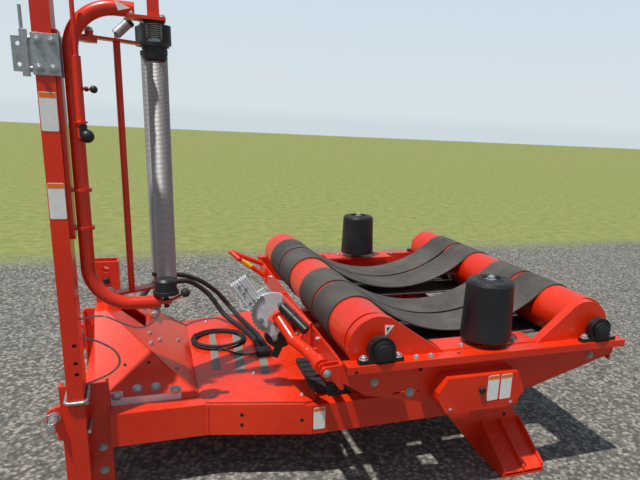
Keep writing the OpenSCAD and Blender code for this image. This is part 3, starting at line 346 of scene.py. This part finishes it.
class Shape:
    """Collects vertices and faces, then becomes one piece."""

    def __init__(self):
        self.v = []
        self.f = []

    def add(self, verts, faces):
        k = len(self.v)
        self.v += [Vector(p) for p in verts]
        self.f += [[i + k for i in f] for f in faces]

    def lathe(self, p, axis, profile, n=20):
        """profile: (distance along axis, radius) pairs, turned about axis from p."""
        p, w = Vector(p), Vector(axis).normalized()
        u = w.orthogonal().normalized()
        q = w.cross(u)
        verts, faces = [], []
        for a, r in profile:
            verts += [p + w * a + (u * math.cos(t) + q * math.sin(t)) * r for t in circle(n)]
        for i in range(len(profile) - 1):
            for k in range(n):
                a, b = i * n + k, i * n + (k + 1) % n
                faces.append((a, b, b + n, a + n))
        faces.append(tuple(range(n - 1, -1, -1)))
        faces.append(tuple(range((len(profile) - 1) * n, len(profile) * n)))
        self.add(verts, faces)

    def bolt(self, p, axis, d=8, washer=True, dome=False):
        """A bolt head on its washer; d is the thread's size."""
        p, w = Vector(p), Vector(axis).normalized()
        if washer:
            self.lathe(p, w, [(0, d * 1.15), (d * 0.2, d * 1.15), (d * 0.22, d * 1.08)])
            p = p + w * d * 0.2
        if dome:
            self.lathe(p, w, [(0, d), (d * 0.25, d * 0.95), (d * 0.48, d * 0.68), (d * 0.58, d * 0.3)], 18)
            return
        self.lathe(p, w, [(0, d * 0.93), (d * 0.52, d * 0.93), (d * 0.64, d * 0.78)], 6)
        self.lathe(p + w * d * 0.6, w, [(0, d * 0.46), (d * 0.22, d * 0.46), (d * 0.3, d * 0.36)], 12)

    def slab(self, c, u, v, size, corner=2.0):
        """A thin plate with cut corners: centre c, edges along u and v, size (along u, v, thick)."""
        c, u, v = Vector(c), Vector(u).normalized(), Vector(v).normalized()
        w = u.cross(v)
        a, b, t = size[0] / 2, size[1] / 2, size[2] / 2
        ring = [(a - corner, b), (a, b - corner), (a, corner - b), (a - corner, -b),
                (corner - a, -b), (-a, corner - b), (-a, b - corner), (corner - a, b)]
        verts = [c + u * x + v * y + w * z for z in (-t, t) for x, y in ring]
        faces = [(k, (k + 1) % 8, 8 + (k + 1) % 8, 8 + k) for k in range(8)]
        faces += [tuple(range(7, -1, -1)), tuple(range(8, 16))]
        self.add(verts, faces)

    def prism(self, points, w, t):
        """A flat outline given by its corners, t thick along w."""
        w = Vector(w).normalized() * t
        n = len(points)
        pts = [Vector(p) for p in points]
        faces = [(k, (k + 1) % n, n + (k + 1) % n, n + k) for k in range(n)]
        faces += [tuple(range(n - 1, -1, -1)), tuple(range(n, 2 * n))]
        self.add(pts + [p + w for p in pts], faces)

    def tube(self, points, r, n=12, closed=False):
        """A round bar of radius r along points."""
        pts = [Vector(p) for p in points]
        m = len(pts)
        side = None
        verts, faces = [], []
        for i, p in enumerate(pts):
            a = pts[(i - 1) % m] if closed or i else pts[0]
            b = pts[(i + 1) % m] if closed or i < m - 1 else pts[-1]
            t = (b - a).normalized()
            side = t.orthogonal().normalized() if side is None else (side - t * side.dot(t)).normalized()
            q = t.cross(side)
            verts += [p + (side * math.cos(k) + q * math.sin(k)) * r for k in circle(n)]
        for i in range(m if closed else m - 1):
            j = (i + 1) % m
            for k in range(n):
                faces.append((i * n + k, i * n + (k + 1) % n, j * n + (k + 1) % n, j * n + k))
        if not closed:
            faces += [tuple(range(n - 1, -1, -1)), tuple(range((m - 1) * n, m * n))]
        self.add(verts, faces)

    def ring(self, c, u, w, r, n, sides):
        """A closed round bar of radius r round c; u and w are the ring's half axes."""
        c, u, w = Vector(c), Vector(u), Vector(w)
        self.tube([c + u * math.cos(a) + w * math.sin(a) for a in circle(n)], r, sides, closed=True)

    def ball(self, c, r):
        n = 12
        angles = [math.pi * k / n for k in range(n + 1)]
        profile = [(r - r * math.cos(a), max(r * math.sin(a), 0.05)) for a in angles]
        self.lathe(Vector(c) - Vector((0, 0, r)), UP, profile, 20)

    def piece(self, name, body, slot, mat):
        """Make the collected mesh one object that rides on body."""
        me = bpy.data.meshes.new(name)
        me.from_pydata([P(*p) for p in self.v], [], self.f)
        bm = bmesh.new()
        bm.from_mesh(me)
        bmesh.ops.recalc_face_normals(bm, faces=bm.faces)
        bm.to_mesh(me)
        bm.free()
        me.polygons.foreach_set("use_smooth", [True] * len(me.polygons))
        me.set_sharp_from_angle(angle=math.radians(35))
        me.materials.append(mat)
        o = bpy.data.objects.new(name, me)
        bpy.context.scene.collection.objects.link(o)
        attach(o, body)
        return o


def curve(points, steps=6):
    """Points on the smooth line through points, as the source's smooth() draws it."""
    pts = [Vector(p) for p in points]
    out = []
    for i in range(len(pts) - 1):
        a, b, c, d = pts[max(i - 1, 0)], pts[i], pts[i + 1], pts[min(i + 2, len(pts) - 1)]
        for k in range(steps):
            t = k / steps
            out.append(0.5 * (2 * b + (c - a) * t + (2 * a - 5 * b + 4 * c - d) * t * t
                              + (3 * b - a - 3 * c + d) * t * t * t))
    return out + [pts[-1]]


def cord_piece(name, pts, d, slot, mat, n):
    """The cord's tube of diameter d along pts."""
    s = Shape()
    s.tube(pts, d / 2, n)
    return s.piece(name, "frame", slot, mat)


def cord_facts(o, pts, d, nodes, **facts):
    """Hide the CAD's nodes, which the cord o stands for."""
    path = [P(*p) for p in pts]
    path = [tuple(p) for p in path]
    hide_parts(*nodes)


# Hoses and wires, on the same routes as in the source.
HOSE_D = 24
HOSE_A = [(-688, -28, 336), (-690, 60, 336), (-698, 160, 336), (-712, 260, 336),
          (-730, 360, 337), (-750, 450, 343), (-776, 505, 368), (-796, 520, 393), (-827, 522, 433),
          (-859, 520, 469), (-932, 505, 528), (-1030, 470, 572), (-1110, 430, 572), (-1170, 345, 553),
          (-1202, 275, 532), (-1215, 225, 523)]
HOSE_B = [(-718, -28, 336), (-719, 60, 336), (-726, 150, 336), (-744, 240, 336),
          (-766, 320, 337), (-790, 378, 343), (-824, 416, 367), (-850, 436, 402), (-878, 447, 446),
          (-912, 455, 485), (-980, 440, 540), (-1045, 405, 555), (-1098, 350, 540), (-1134, 290, 508),
          (-1150, 235, 484), (-1155, 190, 469)]
LANYARD = [(-1140, -500, 708.2), (-1142, -500, 685), (-1158, -500, 662), (-1188, -500, 643),
           (-1220, -500, 643), (-1252, -500, 657), (-1280, -500, 673), (-1308, -500, 688),
           (-1335, -500, 691), (-1362, -500, 689), (-1386, -500, 683)]
LOOP = [(-1385.3, -460, 606), (-1349, -460, 592), (-1320, -460, 575), (-1294, -460, 554),
        (-1279, -460, 527), (-1279, -460, 500), (-1297, -460, 477), (-1330, -460, 457),
        (-1385.3, -460, 437)]


def coupling(name, a, b):
    """Quick coupling on a hose's end, from a towards b: body, sleeve, grip ring and dust cap."""
    s = Shape()
    profile = [(0, 12), (1, 13.2), (15, 13.2), (16, 11.5), (19, 11.5), (19.5, 14), (22, 14.3), (27, 13.4),
               (30, 14.3), (35, 13.4), (38, 14.3), (44, 14.3), (45, 12.5), (51, 12), (52, 9)]
    s.lathe(a, Vector(b) - Vector(a), profile, 28)
    return s.piece(name, "frame", "galvanised", ZINC)


def hoses():
    ends = [coupling("coupling_a", (-1215, 224.5, 524), (-1221, 172, 529)),
            coupling("coupling_b", (-1155, 189.5, 471), (-1160, 136, 475))]
    for end in ends:
        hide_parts("hose_couplings")
    for name, route, end in (("hose_a", HOSE_A, ends[0]), ("hose_b", HOSE_B, ends[1])):
        pts = curve(route)
        o = cord_piece(name + "_tube", pts, HOSE_D, "rubber", HOSE, 12)
        cord_facts(o, pts, HOSE_D, [name], far_end="connector", stiffness="stiff", lay="loose",
                   with_pieces=[end])


def wires():
    for name, node, route, d, stiffness in (("lanyard_rope", "lanyard", LANYARD, 6, "medium"),
                                            ("loop_wire", "loop_cable", LOOP, 7, "stiff")):
        pts = curve(route)
        o = cord_piece(name, pts, d, "galvanised", WIRE, 8)
        cord_facts(o, pts, d, [node], far_end="object", stiffness=stiffness, lay="loose")


hoses()
wires()


# The coil: a line from the gland that lies in five turns on the deck, tied in three places.
COIL_X, COIL_Y, COIL_Z = -880, 150, 334.3
COIL_R = 115
COIL_TURNS = 5
COIL_LINE_D = 8
TIE_R = 15.2
# Where each turn lies in the bundle: its radius and its height.
LAYS = [(COIL_R + 10 * math.cos(math.radians(60 * k)), COIL_Z + 10 * math.sin(math.radians(60 * k)))
        for k in range(COIL_TURNS + 1)]


def coil_points():
    n = 36
    out = []
    for t in range(COIL_TURNS):
        for k in range(n):
            w = k / n
            w = w * w * (3 - 2 * w)
            r = LAYS[t][0] * (1 - w) + LAYS[t + 1][0] * w
            z = LAYS[t][1] * (1 - w) + LAYS[t + 1][1] * w
            a = math.radians(-90 - 360 * k / n)
            out.append((COIL_X + r * math.cos(a), COIL_Y + r * math.sin(a), z))
    return out


def coil():
    turns = coil_points()
    lead = curve([(-738, -60, 331), (-775, -60, 329), (-812, -46, 329), (-838, -22, 330),
                  (-858, 8, 332), turns[0]])
    pts = lead[:-1] + turns
    o = cord_piece("coil_line_tube", pts, COIL_LINE_D, "rubber", HOSE, 10)
    plug = Shape()
    w = (Vector(pts[-1]) - Vector(pts[-2])).normalized()
    profile = [(0, 5), (3, 6.5), (26, 6.5), (28, 5.6), (40, 5.6), (41, 5)]
    plug.lathe(Vector(pts[-1]) - w * 2, w, profile, 16)
    end = plug.piece("coil_plug", "frame", "black_plastic", PLASTIC)
    cord_facts(o, pts, COIL_LINE_D, ["coil_line", "hose_coil"], far_end="connector",
               stiffness="medium", lay="coiled", with_pieces=[end])
    ties = Shape()
    for deg in (35, 150, 262):
        a = math.radians(deg)
        u = Vector((math.cos(a), math.sin(a), 0))
        c = Vector((COIL_X, COIL_Y, COIL_Z)) + u * COIL_R
        ties.ring(c, u * TIE_R, (0, 0, TIE_R), 1.4, 20, 6)
    ties.piece("coil_ties", "frame", "black_plastic", PLASTIC)


coil()


def frame_hardware():
    zinc, black, holes = Shape(), Shape(), Shape()
    # Bolts at the tower's foot, on the strap's tabs and between them, and two dark discs in the leaning
    # side as painted shade in its holes.
    lean = Vector((0, -0.7277, 0.6859))

    def on_side(x, z):
        return (x, TOWER_FOOT_Y + TOWER_SLOPE * (z - DECK_Z), z)

    for x in (-1298, -1098):
        zinc.bolt((x, -418, 361), NEAR, 15, dome=True)
    for x in (-1230, -1165):
        zinc.bolt(on_side(x, 362), lean, 14, dome=True)
    for x, z in ((-1269, 432), (-1186, 433)):
        holes.lathe(on_side(x, z), lean, disc(6, 0.5), 16)
    # Bolts of the tower's sloping rear panel.
    for x, y in ((-1182, -85), (-1145, -88), (-1176, -190), (-1065, 85), (-1085, -270)):
        zinc.bolt((x, y, 600 - (x + 1327) * 0.8825), (0.6616, 0, 0.7498), 9)
    # Bolts of the lower link lugs on both hitch posts.
    for x, z in ((-1425, 182), (-1424, 89), (-1352, 182), (-1352, 89)):
        zinc.bolt((x, -450, z), NEAR, 13)
        zinc.bolt((x, 450, z), FAR, 13)
    # Bolts through the mast's foot into the post.
    for z in (300, 405):
        zinc.tube([(-1380, -548, z), (-1380, -452, z)], 6, 12)
    # U-bolt round the mast, into the post's plate.
    u_bolt = [(-1444, -441, 424), (-1444, -530, 416), (-1443, -548, 415), (-1436, -556.5, 414),
              (-1424, -557, 413), (-1400, -557, 413), (-1388, -556.5, 414), (-1381, -548, 415),
              (-1380, -530, 416), (-1380, -441, 424)]
    zinc.tube(curve(u_bolt, 4), 6, 12)
    # Lynch pins in the ends of the link pins, each with its ring.
    for side in (-1, 1):
        y = side * 530
        zinc.tube([(-1495, y, 300), (-1495, y, 345)], 4.5, 10)
        zinc.ring((-1495, y + side * 2, 352), (20, 0, 0), (0, 0, 18), 2.4, 28, 8)
    # Deck bolts.
    for x, y in ((-914, 440), (-784, -262), (-1080, -400), (-966, -434), (-640, -505), (-640, 505)):
        zinc.bolt((x, y, DECK_Z + 1.5), UP, 8)
    # Bolts of the mast clamp's cover and of the carriage strip.
    for z in (1452, 1526):
        for x in (-1388, -1424):
            zinc.bolt((x, -554.6, z), NEAR, 10)
    for z in (990, 1108):
        zinc.bolt((-1360, -478, z), FAR, 8)
    # Dark discs as painted shade in the holes of the rail, which spreads towards the table, and of the
    # left rear leg.
    flare = Vector((-0.2577, -0.9662, 0))
    for x, y, z in ((-871, -523, 279), (-872, -523, 238), (-657, -580, 257)):
        holes.lathe(Vector((x, y, z)) + flare * 0.3, flare, disc(7, 0.6), 18)
    for x, z in ((166, 117), (230, 169), (167, 64)):
        holes.lathe((x, -600.2, z), NEAR, disc(8, 0.6), 18)
    zinc.piece("frame_bolts", "frame", "galvanised", ZINC)
    holes.piece("frame_hole_shade", "frame", "black_plastic", SHADE_AND_PRINT_BLACK)
    # Knobs of the locking rod, the mast's cap and the plug of the top link box.
    black.ball((LOCK_X + 41, LOCK_Y, 1403), 11)
    black.lathe((LOCK_X + 17, LOCK_Y, 1403), REAR, [(0, 7), (8, 7), (9, 5)], 16)
    black.ball((LOCK_X + 14, LOCK_Y, 1268), 20)
    black.lathe((LOCK_X + 2, LOCK_Y, 1262), UP, [(0, 12), (3, 14), (38, 14), (41, 12)], 20)
    black.lathe((MAST_X, -500, 1950), UP, [(-4, 24), (2, 24), (4, 21)], 4)
    black.lathe((-1330, -40, 690), NEAR, [(0, 13), (5, 13), (8, 9)], 20)
    black.piece("frame_knobs", "frame", "black_plastic", PLASTIC)


def plate(white, orange, x, y, z, size, head, along=REAR):
    """A blank plate on a face at y, with an orange head near its upper edge."""
    w, h = size
    white.slab((x, y - 0.4, z), along, UP, (w, h, 1.0), 3)
    orange.slab((x, y - 0.8, z + h / 2 - 9), along, UP, (w - 2, head, 0.9), 1)


def plates():
    white, orange = Shape(), Shape()
    # On the mast, the rail and the top link box.
    plate(white, orange, MAST_X, MAST_FACE_Y, 1333.5, (45, 109), 14)
    plate(white, orange, MAST_X, MAST_FACE_Y, 1076, (45, 108), 14)
    plate(white, orange, -592, -590, 261, (46, 90), 13)
    white.slab((-1330, -39.5, 650), REAR, UP, (40, 26, 1.0), 2)
    white.piece("frame_plates", "frame", "paint", WHITE)
    orange.piece("frame_plate_heads", "frame", "paint", ORANGE)
    # On the chain case, and the triangle on the front roller's guard.
    white, orange, marks = Shape(), Shape(), Shape()
    for x in (-21, 33):
        plate(white, orange, x, CASE_Y, 445, (46, 98), 14, (1, 0, 0.03))
    white.prism([(-431, -800.3, 694), (-396, -800.3, 690), (-428, -800.3, 652)], NEAR, 0.8)
    marks.prism([(-424, -801.2, 684), (-413, -801.2, 686), (-423, -801.2, 668)], NEAR, 0.4)
    white.piece("table_plates", "turntable", "paint", WHITE)
    orange.piece("table_plate_heads", "turntable", "paint", ORANGE)
    marks.piece("table_marks", "turntable", "black_plastic", SHADE_AND_PRINT_BLACK)
    # Sleeve on the corner hoop's front leg, which runs from foot to bend.
    reflector = Shape()
    foot, bend = Vector((-569, 634, 500)), Vector((-716, 636, 606))
    profile = [(0, 13.1), (0.5, 14.1), (62, 14.1), (62.5, 13.1)]
    reflector.lathe(foot.lerp(bend, 0.56), bend - foot, profile, 28)
    reflector.piece("corner_reflector", "turntable", "black_plastic", YELLOW)


def clamp_ribs():
    """The cutter's clamping bars: six round ribs, the plate between them and a bent spring wire."""
    s = Shape()
    along, across = Vector((0.55, 0, -0.835)), Vector((0.835, 0, 0.55))
    for side in (-1, 1):
        middle = Vector((-836, -448, 728)) + across * side * 17
        for offset in (-10, 0, 10):
            a = middle + across * offset
            s.tube([a - along * 54, a + along * 40], 4.4, 12)
    s.slab((-775, -446, 712), along, across, (58, 34, 10), 3)
    s.tube([(-836, -440, 742), (-862, -446, 700), (-858, -452, 672), (-830, -454, 660)], 3.2, 10)
    s.piece("cutter_ribs", "cutter", "galvanised", BRIGHT)


def deck_skin():
    """Deck sheet, a little smaller than the plate under it, and a dark line painted as the shade of the
    seam at its edge.
    """
    half = [(-1004, 400), (-990, 474), (-655, 560), (-612, 566), (-598, 558), (-592, 540), (-560, 440),
            (-536, 418)]
    z = DECK_Z + 0.2
    s = Shape()
    s.prism([(x, -y, z) for x, y in half] + [(x, y, z) for x, y in half[::-1]], UP, 1.6)
    s.piece("deck_skin", "frame", "paint", PAINT)
    seam = Shape()
    edge = ((-1000, -478), (-988, -481), (-650, -568), (-606, -573), (-588, -562), (-584, -540))
    seam.tube([(x, y, DECK_Z + 1) for x, y in edge], 1.3, 6)
    seam.piece("deck_seam_shade", "frame", "black_plastic", SHADE_AND_PRINT_BLACK)


def deck_grit():
    """Three rough strips across the deck."""
    s = Shape()
    for strip in (((-914, 276), (-886, 270), (-909, -188), (-944, -179)),
                  ((-810, 223), (-769, 214), (-814, -244), (-853, -233)),
                  ((-708, 200), (-670, 191), (-720, -278), (-752, -270))):
        s.prism([(x, y, DECK_Z + 1.9) for x, y in strip], UP, 0.9)
    s.piece("deck_grit", "frame", "rubber", GRIT)


def weld_seams():
    """Seams at the rails' bends, along the tower's sloping edges and at its foot."""
    s = Shape()
    for side in (-1, 1):
        s.tube([(-990, side * 491.5, 198), (-990, side * 491.5, 317)], 3.2, 8)
        s.tube([(-620, side * 590.8, 198), (-620, side * 590.8, 317)], 2.6, 8)
        s.tube([(-1326, side * 150, 600), (-1014, side * 411, 323)], 3.0, 8)
        s.tube([(-1370, side * 412.5, 323), (-1014, side * 412.5, 323)], 3.0, 8)
    s.piece("weld_seams", "frame", "paint", PAINT)


def table_hardware():
    zinc, holes, black = Shape(), Shape(), Shape()
    for side in (-1, 1):
        out = (0, side, 0)
        # Bolts and caps of the roller bearings.
        for x in (-ROLLER_X, ROLLER_X):
            for dx in (-62, 62):
                zinc.bolt((x + dx, side * 833, 590), UP, 14)
            black.lathe((x, side * 862, ROLLER_Z), out, [(0, 27), (2, 27), (4, 24)], 28)
        # Bolts of the side beam's lip and web, and dark discs as painted shade in its holes.
        for x in (-318, -262):
            zinc.bolt((x, side * 826, BEAM_TOP_Z), UP, 11)
        for x in (-112, 112, 232):
            zinc.bolt((x, side * 770, BEAM_TOP_Z + 4), UP, 10)
        for x, z, d in ((-459, 487, 13), (-322, 434, 15), (459, 500, 13)):
            zinc.bolt((x, side * WEB_Y, z), out, d)
        holes.lathe((-285, side * (WEB_Y + 0.1), 516), out, disc(7, 0.5), 16)
        holes.lathe((-150, side * 822, BEAM_TOP_Z + 0.1), UP, disc(6, 0.5), 16)
        holes.lathe((-546, side * 856.1, 556), out, disc(6, 0.5), 16)
    # Knob and cover bolts of the chain case.
    black.lathe((-67, CASE_Y, 442), NEAR, [(0, 13), (9, 13), (12, 10)], 18)
    for x, z in ((-190, 380), (60, 378)):
        zinc.bolt((x, CASE_Y, z), NEAR, 6)
    # Bolts of the cutter's hinge, of the hub's plate and of the end plates.
    zinc.bolt((HINGE_X, -796, HINGE_Z), NEAR, 12)
    for x in (-207, 207):
        for y in (-160, 160):
            zinc.bolt((x, y, 401), UP, 12)
    for y in (-480, -160, 150, 470):
        zinc.bolt((-BEAM_END_X, y, 540), FRONT, 9)
        zinc.bolt((BEAM_END_X, y, 540), REAR, 9)
    zinc.piece("table_bolts", "turntable", "galvanised", ZINC)
    holes.piece("table_hole_shade", "turntable", "black_plastic", SHADE_AND_PRINT_BLACK)
    black.piece("table_caps", "turntable", "black_plastic", PLASTIC)


def cones():
    for side, body in ((-1, "bale_cone_left"), (1, "bale_cone_right")):
        y = side * CONE_Y
        s = Shape()
        s.ring((0, y, 823), (46, 0, 0), (0, 46, 0), 3.4, 48, 10)
        s.lathe((0, y, 812), UP, [(0, 33), (6, 33), (8, 30)], 32)
        s.piece(body + "_ring", body, "black_plastic", PLASTIC)
        b = Shape()
        b.bolt((0, y, 819), UP, 16)
        b.piece(body + "_bolt", body, "galvanised", ZINC)


def reel_hardware():
    black, zinc = Shape(), Shape()
    # Spring round the spindle, pressed together when the spindle is lifted.
    s = Shape()
    z0, z1 = 1562.5, 1610
    steps, turns, r = 24, 8, 21
    last = steps * turns
    coils = []
    for k in range(last + 1):
        a = 2 * math.pi * k / steps
        coils.append((REEL_X + r * math.cos(a), REEL_Y + r * math.sin(a), z0 + (z1 - z0) * k / last))
    s.tube(coils, 2.2, 8)
    spring = s.piece("spindle_spring", "frame", "galvanised", STEEL)
    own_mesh(spring)
    # Nuts over the housing, the spindle's bolt and the bolts of the film stretcher's pivot.
    for dx, dy in ((-60, -24), (-60, 24), (24, -24), (24, 24)):
        zinc.bolt((REEL_X + dx, REEL_Y + dy, 1621.5), UP, 8)
    zinc.bolt((-1098, REEL_Y, 1690), REAR, 12)
    zinc.bolt((-1300, -436, 1573.7), UP, 12)
    zinc.bolt((-1300, -436, 730.3), DOWN, 12)
    zinc.piece("reel_bolts", "frame", "galvanised", ZINC)
    # Knob of the lower arm and the rubber ring under the housing.
    black.ball((-1054, REEL_Y, REEL_LOW_Z), 16)
    black.lathe((REEL_X, REEL_Y, 1604), UP, [(0, 26), (1, 30), (6, 30), (7, 27)], 32)
    black.piece("spindle_ring", "frame", "rubber", RUBBER)
    w = Shape()
    w.prism([(-1221, -521.9, 1655), (-1179, -521.9, 1638), (-1212, -521.9, 1628)], NEAR, 0.8)
    w.piece("hoop_mark", "frame", "paint", WHITE)


def stretcher_hardware():
    black, zinc, cap = Shape(), Shape(), Shape()
    for x, y in ((-1108, -328), (-1124, -242)):
        # Dark collars at the ends of the rollers.
        for z, up in ((1548, -1), (REEL_LOW_Z, 1)):
            black.lathe((x, y, z), (0, 0, up), [(0, 27), (0.5, 35.2), (15, 35.2), (16, 34.2)], 32)
        zinc.bolt((x, y, 736), DOWN, 12)
        zinc.bolt((x, y, 1636), UP, 8)
    for x, y in ((-1145, -300), (-1080, -262), (-1152, -352), (-1066, -220)):
        zinc.bolt((x, y, 1622), UP, 6)
    black.piece("stretch_collars", "stretcher", "black_plastic", PLASTIC)
    zinc.piece("stretch_bolts", "stretcher", "galvanised", ZINC)
    # Cap and cross pin of the spring cylinder.
    foot = Vector((-1226, -400, 1576))
    w = Vector((44, 6, 44)).normalized()
    cap.lathe(foot + w * 50, w, [(0, 15.6), (1, 17), (10, 17), (12, 14)], 24)
    half_pin = Vector((6, 18, 6))
    cap.tube([foot + w * 8 - half_pin, foot + w * 8 + half_pin], 3, 8)
    cap.piece("stretch_spring_cap", "stretcher", "black_plastic", PLASTIC)


def cutter_hardware():
    zinc, black = Shape(), Shape()
    for x, z in ((-714, 678), (-736, 548), (-727, 634), (-790, 622)):
        zinc.bolt((x, BLADE_Y, z), NEAR, 10)
    for x, z in ((-850, 728), (-866, 754), (-826, 690), (-812, 700), (-842, 745)):
        zinc.bolt((x, BLADE_Y + 8, z), NEAR, 7, washer=False)
    # Blade along the half round plate's edge, with saw teeth.
    n = 26
    outer, inner = [], []
    for k in range(n):
        a = math.radians(118 + (262 - 118) * k / (n - 1))
        for ring, r in ((outer, 82 if k % 2 else 76), (inner, 62)):
            ring.append((BLADE_X + r * math.cos(a), BLADE_Y - 1.5, BLADE_Z + r * math.sin(a)))
    zinc.prism(outer + inner[::-1], NEAR, 1.6)
    zinc.piece("cutter_bolts", "cutter", "galvanised", STEEL)
    # Ring on the small cylinder, and the dark disc behind the plate.
    foot = Vector(STRUT_FOOT)
    w = (Vector(STRUT_TOP) - foot).normalized()
    black.lathe(foot + w * 70, w, [(0, 18.3), (1, 20), (9, 20), (10, 18.3)], 24)
    profile = [(0, 12), (0, 50), (2, 53), (15, 53), (17, 50), (17, 26), (23, 24), (23, 6)]
    black.lathe((-712, -441, 552), FAR, profile, 40)
    black.piece("cutter_ring", "cutter", "black_plastic", PLASTIC)


frame_hardware()
clamp_ribs()
deck_skin()
plates()
deck_grit()
weld_seams()
table_hardware()
cones()
reel_hardware()
stretcher_hardware()
cutter_hardware()


# Stage: a gravel floor with a green field behind it, a pale sky and the sun.

FIELD_Y, FIELD_END_Y = 3.6, 4.2


def gravel():
    m = Mat("gravel", srgb(128, 124, 118), rough=0.9)
    v = m.node("ShaderNodeTexVoronoi")
    v.inputs["Scale"].default_value = 58
    m.link(m.pos, v.inputs["Vector"])
    # Each cell is one stone of its own tone, with the gaps between the stones painted dark as shade.
    stones = m.ramp(v.outputs["Color"], (0.25, srgb(90, 89, 86)), (0.5, srgb(122, 119, 113)),
                    (0.8, srgb(164, 160, 151)))
    floor = m.mix(m.gray(v.outputs["Distance"], 0.25, 0.9, 0.0, 0.7), stones, srgb(62, 60, 57))
    grass = m.ramp(m.noise(7, 6, 0.7), (0.3, srgb(112, 122, 62)), (0.7, srgb(150, 152, 88)))
    edge = m.math("ADD", m.axis(1), m.math("MULTIPLY", m.noise(0.8, 3), 0.8))
    m.color(m.mix(m.gray(edge, FIELD_Y, FIELD_END_Y), floor, grass))
    m.bump(v.outputs["Distance"], 0.7, 0.006)
    return m.m


def ground():
    half = 60
    me = bpy.data.meshes.new("floor")
    me.from_pydata([(-half, -half, 0), (half, -half, 0), (half, half, 0), (-half, half, 0)], [],
                   [(0, 1, 2, 3)])
    me.materials.append(gravel())
    floor = bpy.data.objects.new("floor", me)
    bpy.context.scene.collection.objects.link(floor)


def sky():
    world = bpy.data.worlds.new("sky")
    bpy.context.scene.world = world
    world.use_nodes = True
    t = world.node_tree
    bg = t.nodes["Background"]
    co = t.nodes.new("ShaderNodeTexCoord")
    sep = t.nodes.new("ShaderNodeSeparateXYZ")
    ramp = t.nodes.new("ShaderNodeValToRGB")
    t.links.new(co.outputs["Generated"], sep.inputs[0])
    t.links.new(sep.outputs[2], ramp.inputs[0])
    # Colours by height above the horizon.
    e = ramp.color_ramp.elements
    e[0].position, e[0].color = 0.0, srgb(196, 208, 214)
    e[1].position, e[1].color = 0.35, srgb(188, 208, 226)
    e.new(0.02).color = srgb(206, 216, 220)
    t.links.new(ramp.outputs[0], bg.inputs["Color"])
    # The camera sees a pale haze, and the machine gets a weaker light from it.
    ray = t.nodes.new("ShaderNodeLightPath")
    level = t.nodes.new("ShaderNodeMapRange")
    level.inputs["To Min"].default_value = 0.55
    level.inputs["To Max"].default_value = 1.1
    t.links.new(ray.outputs["Is Camera Ray"], level.inputs["Value"])
    t.links.new(level.outputs["Result"], bg.inputs["Strength"])


def sunlight():
    data = bpy.data.lights.new("sun", "SUN")
    data.energy = 3.9
    data.angle = math.radians(1.2)
    data.color = (1.0, 0.95, 0.88)
    sun = bpy.data.objects.new("sun", data)
    bpy.context.scene.collection.objects.link(sun)
    sun.rotation_mode = "QUATERNION"
    sun.rotation_quaternion = Vector((-0.30, -0.20, 0.95)).to_track_quat("Z", "Y")


ground()
sky()
sunlight()

bpy.context.scene.view_settings.view_transform = "Standard"
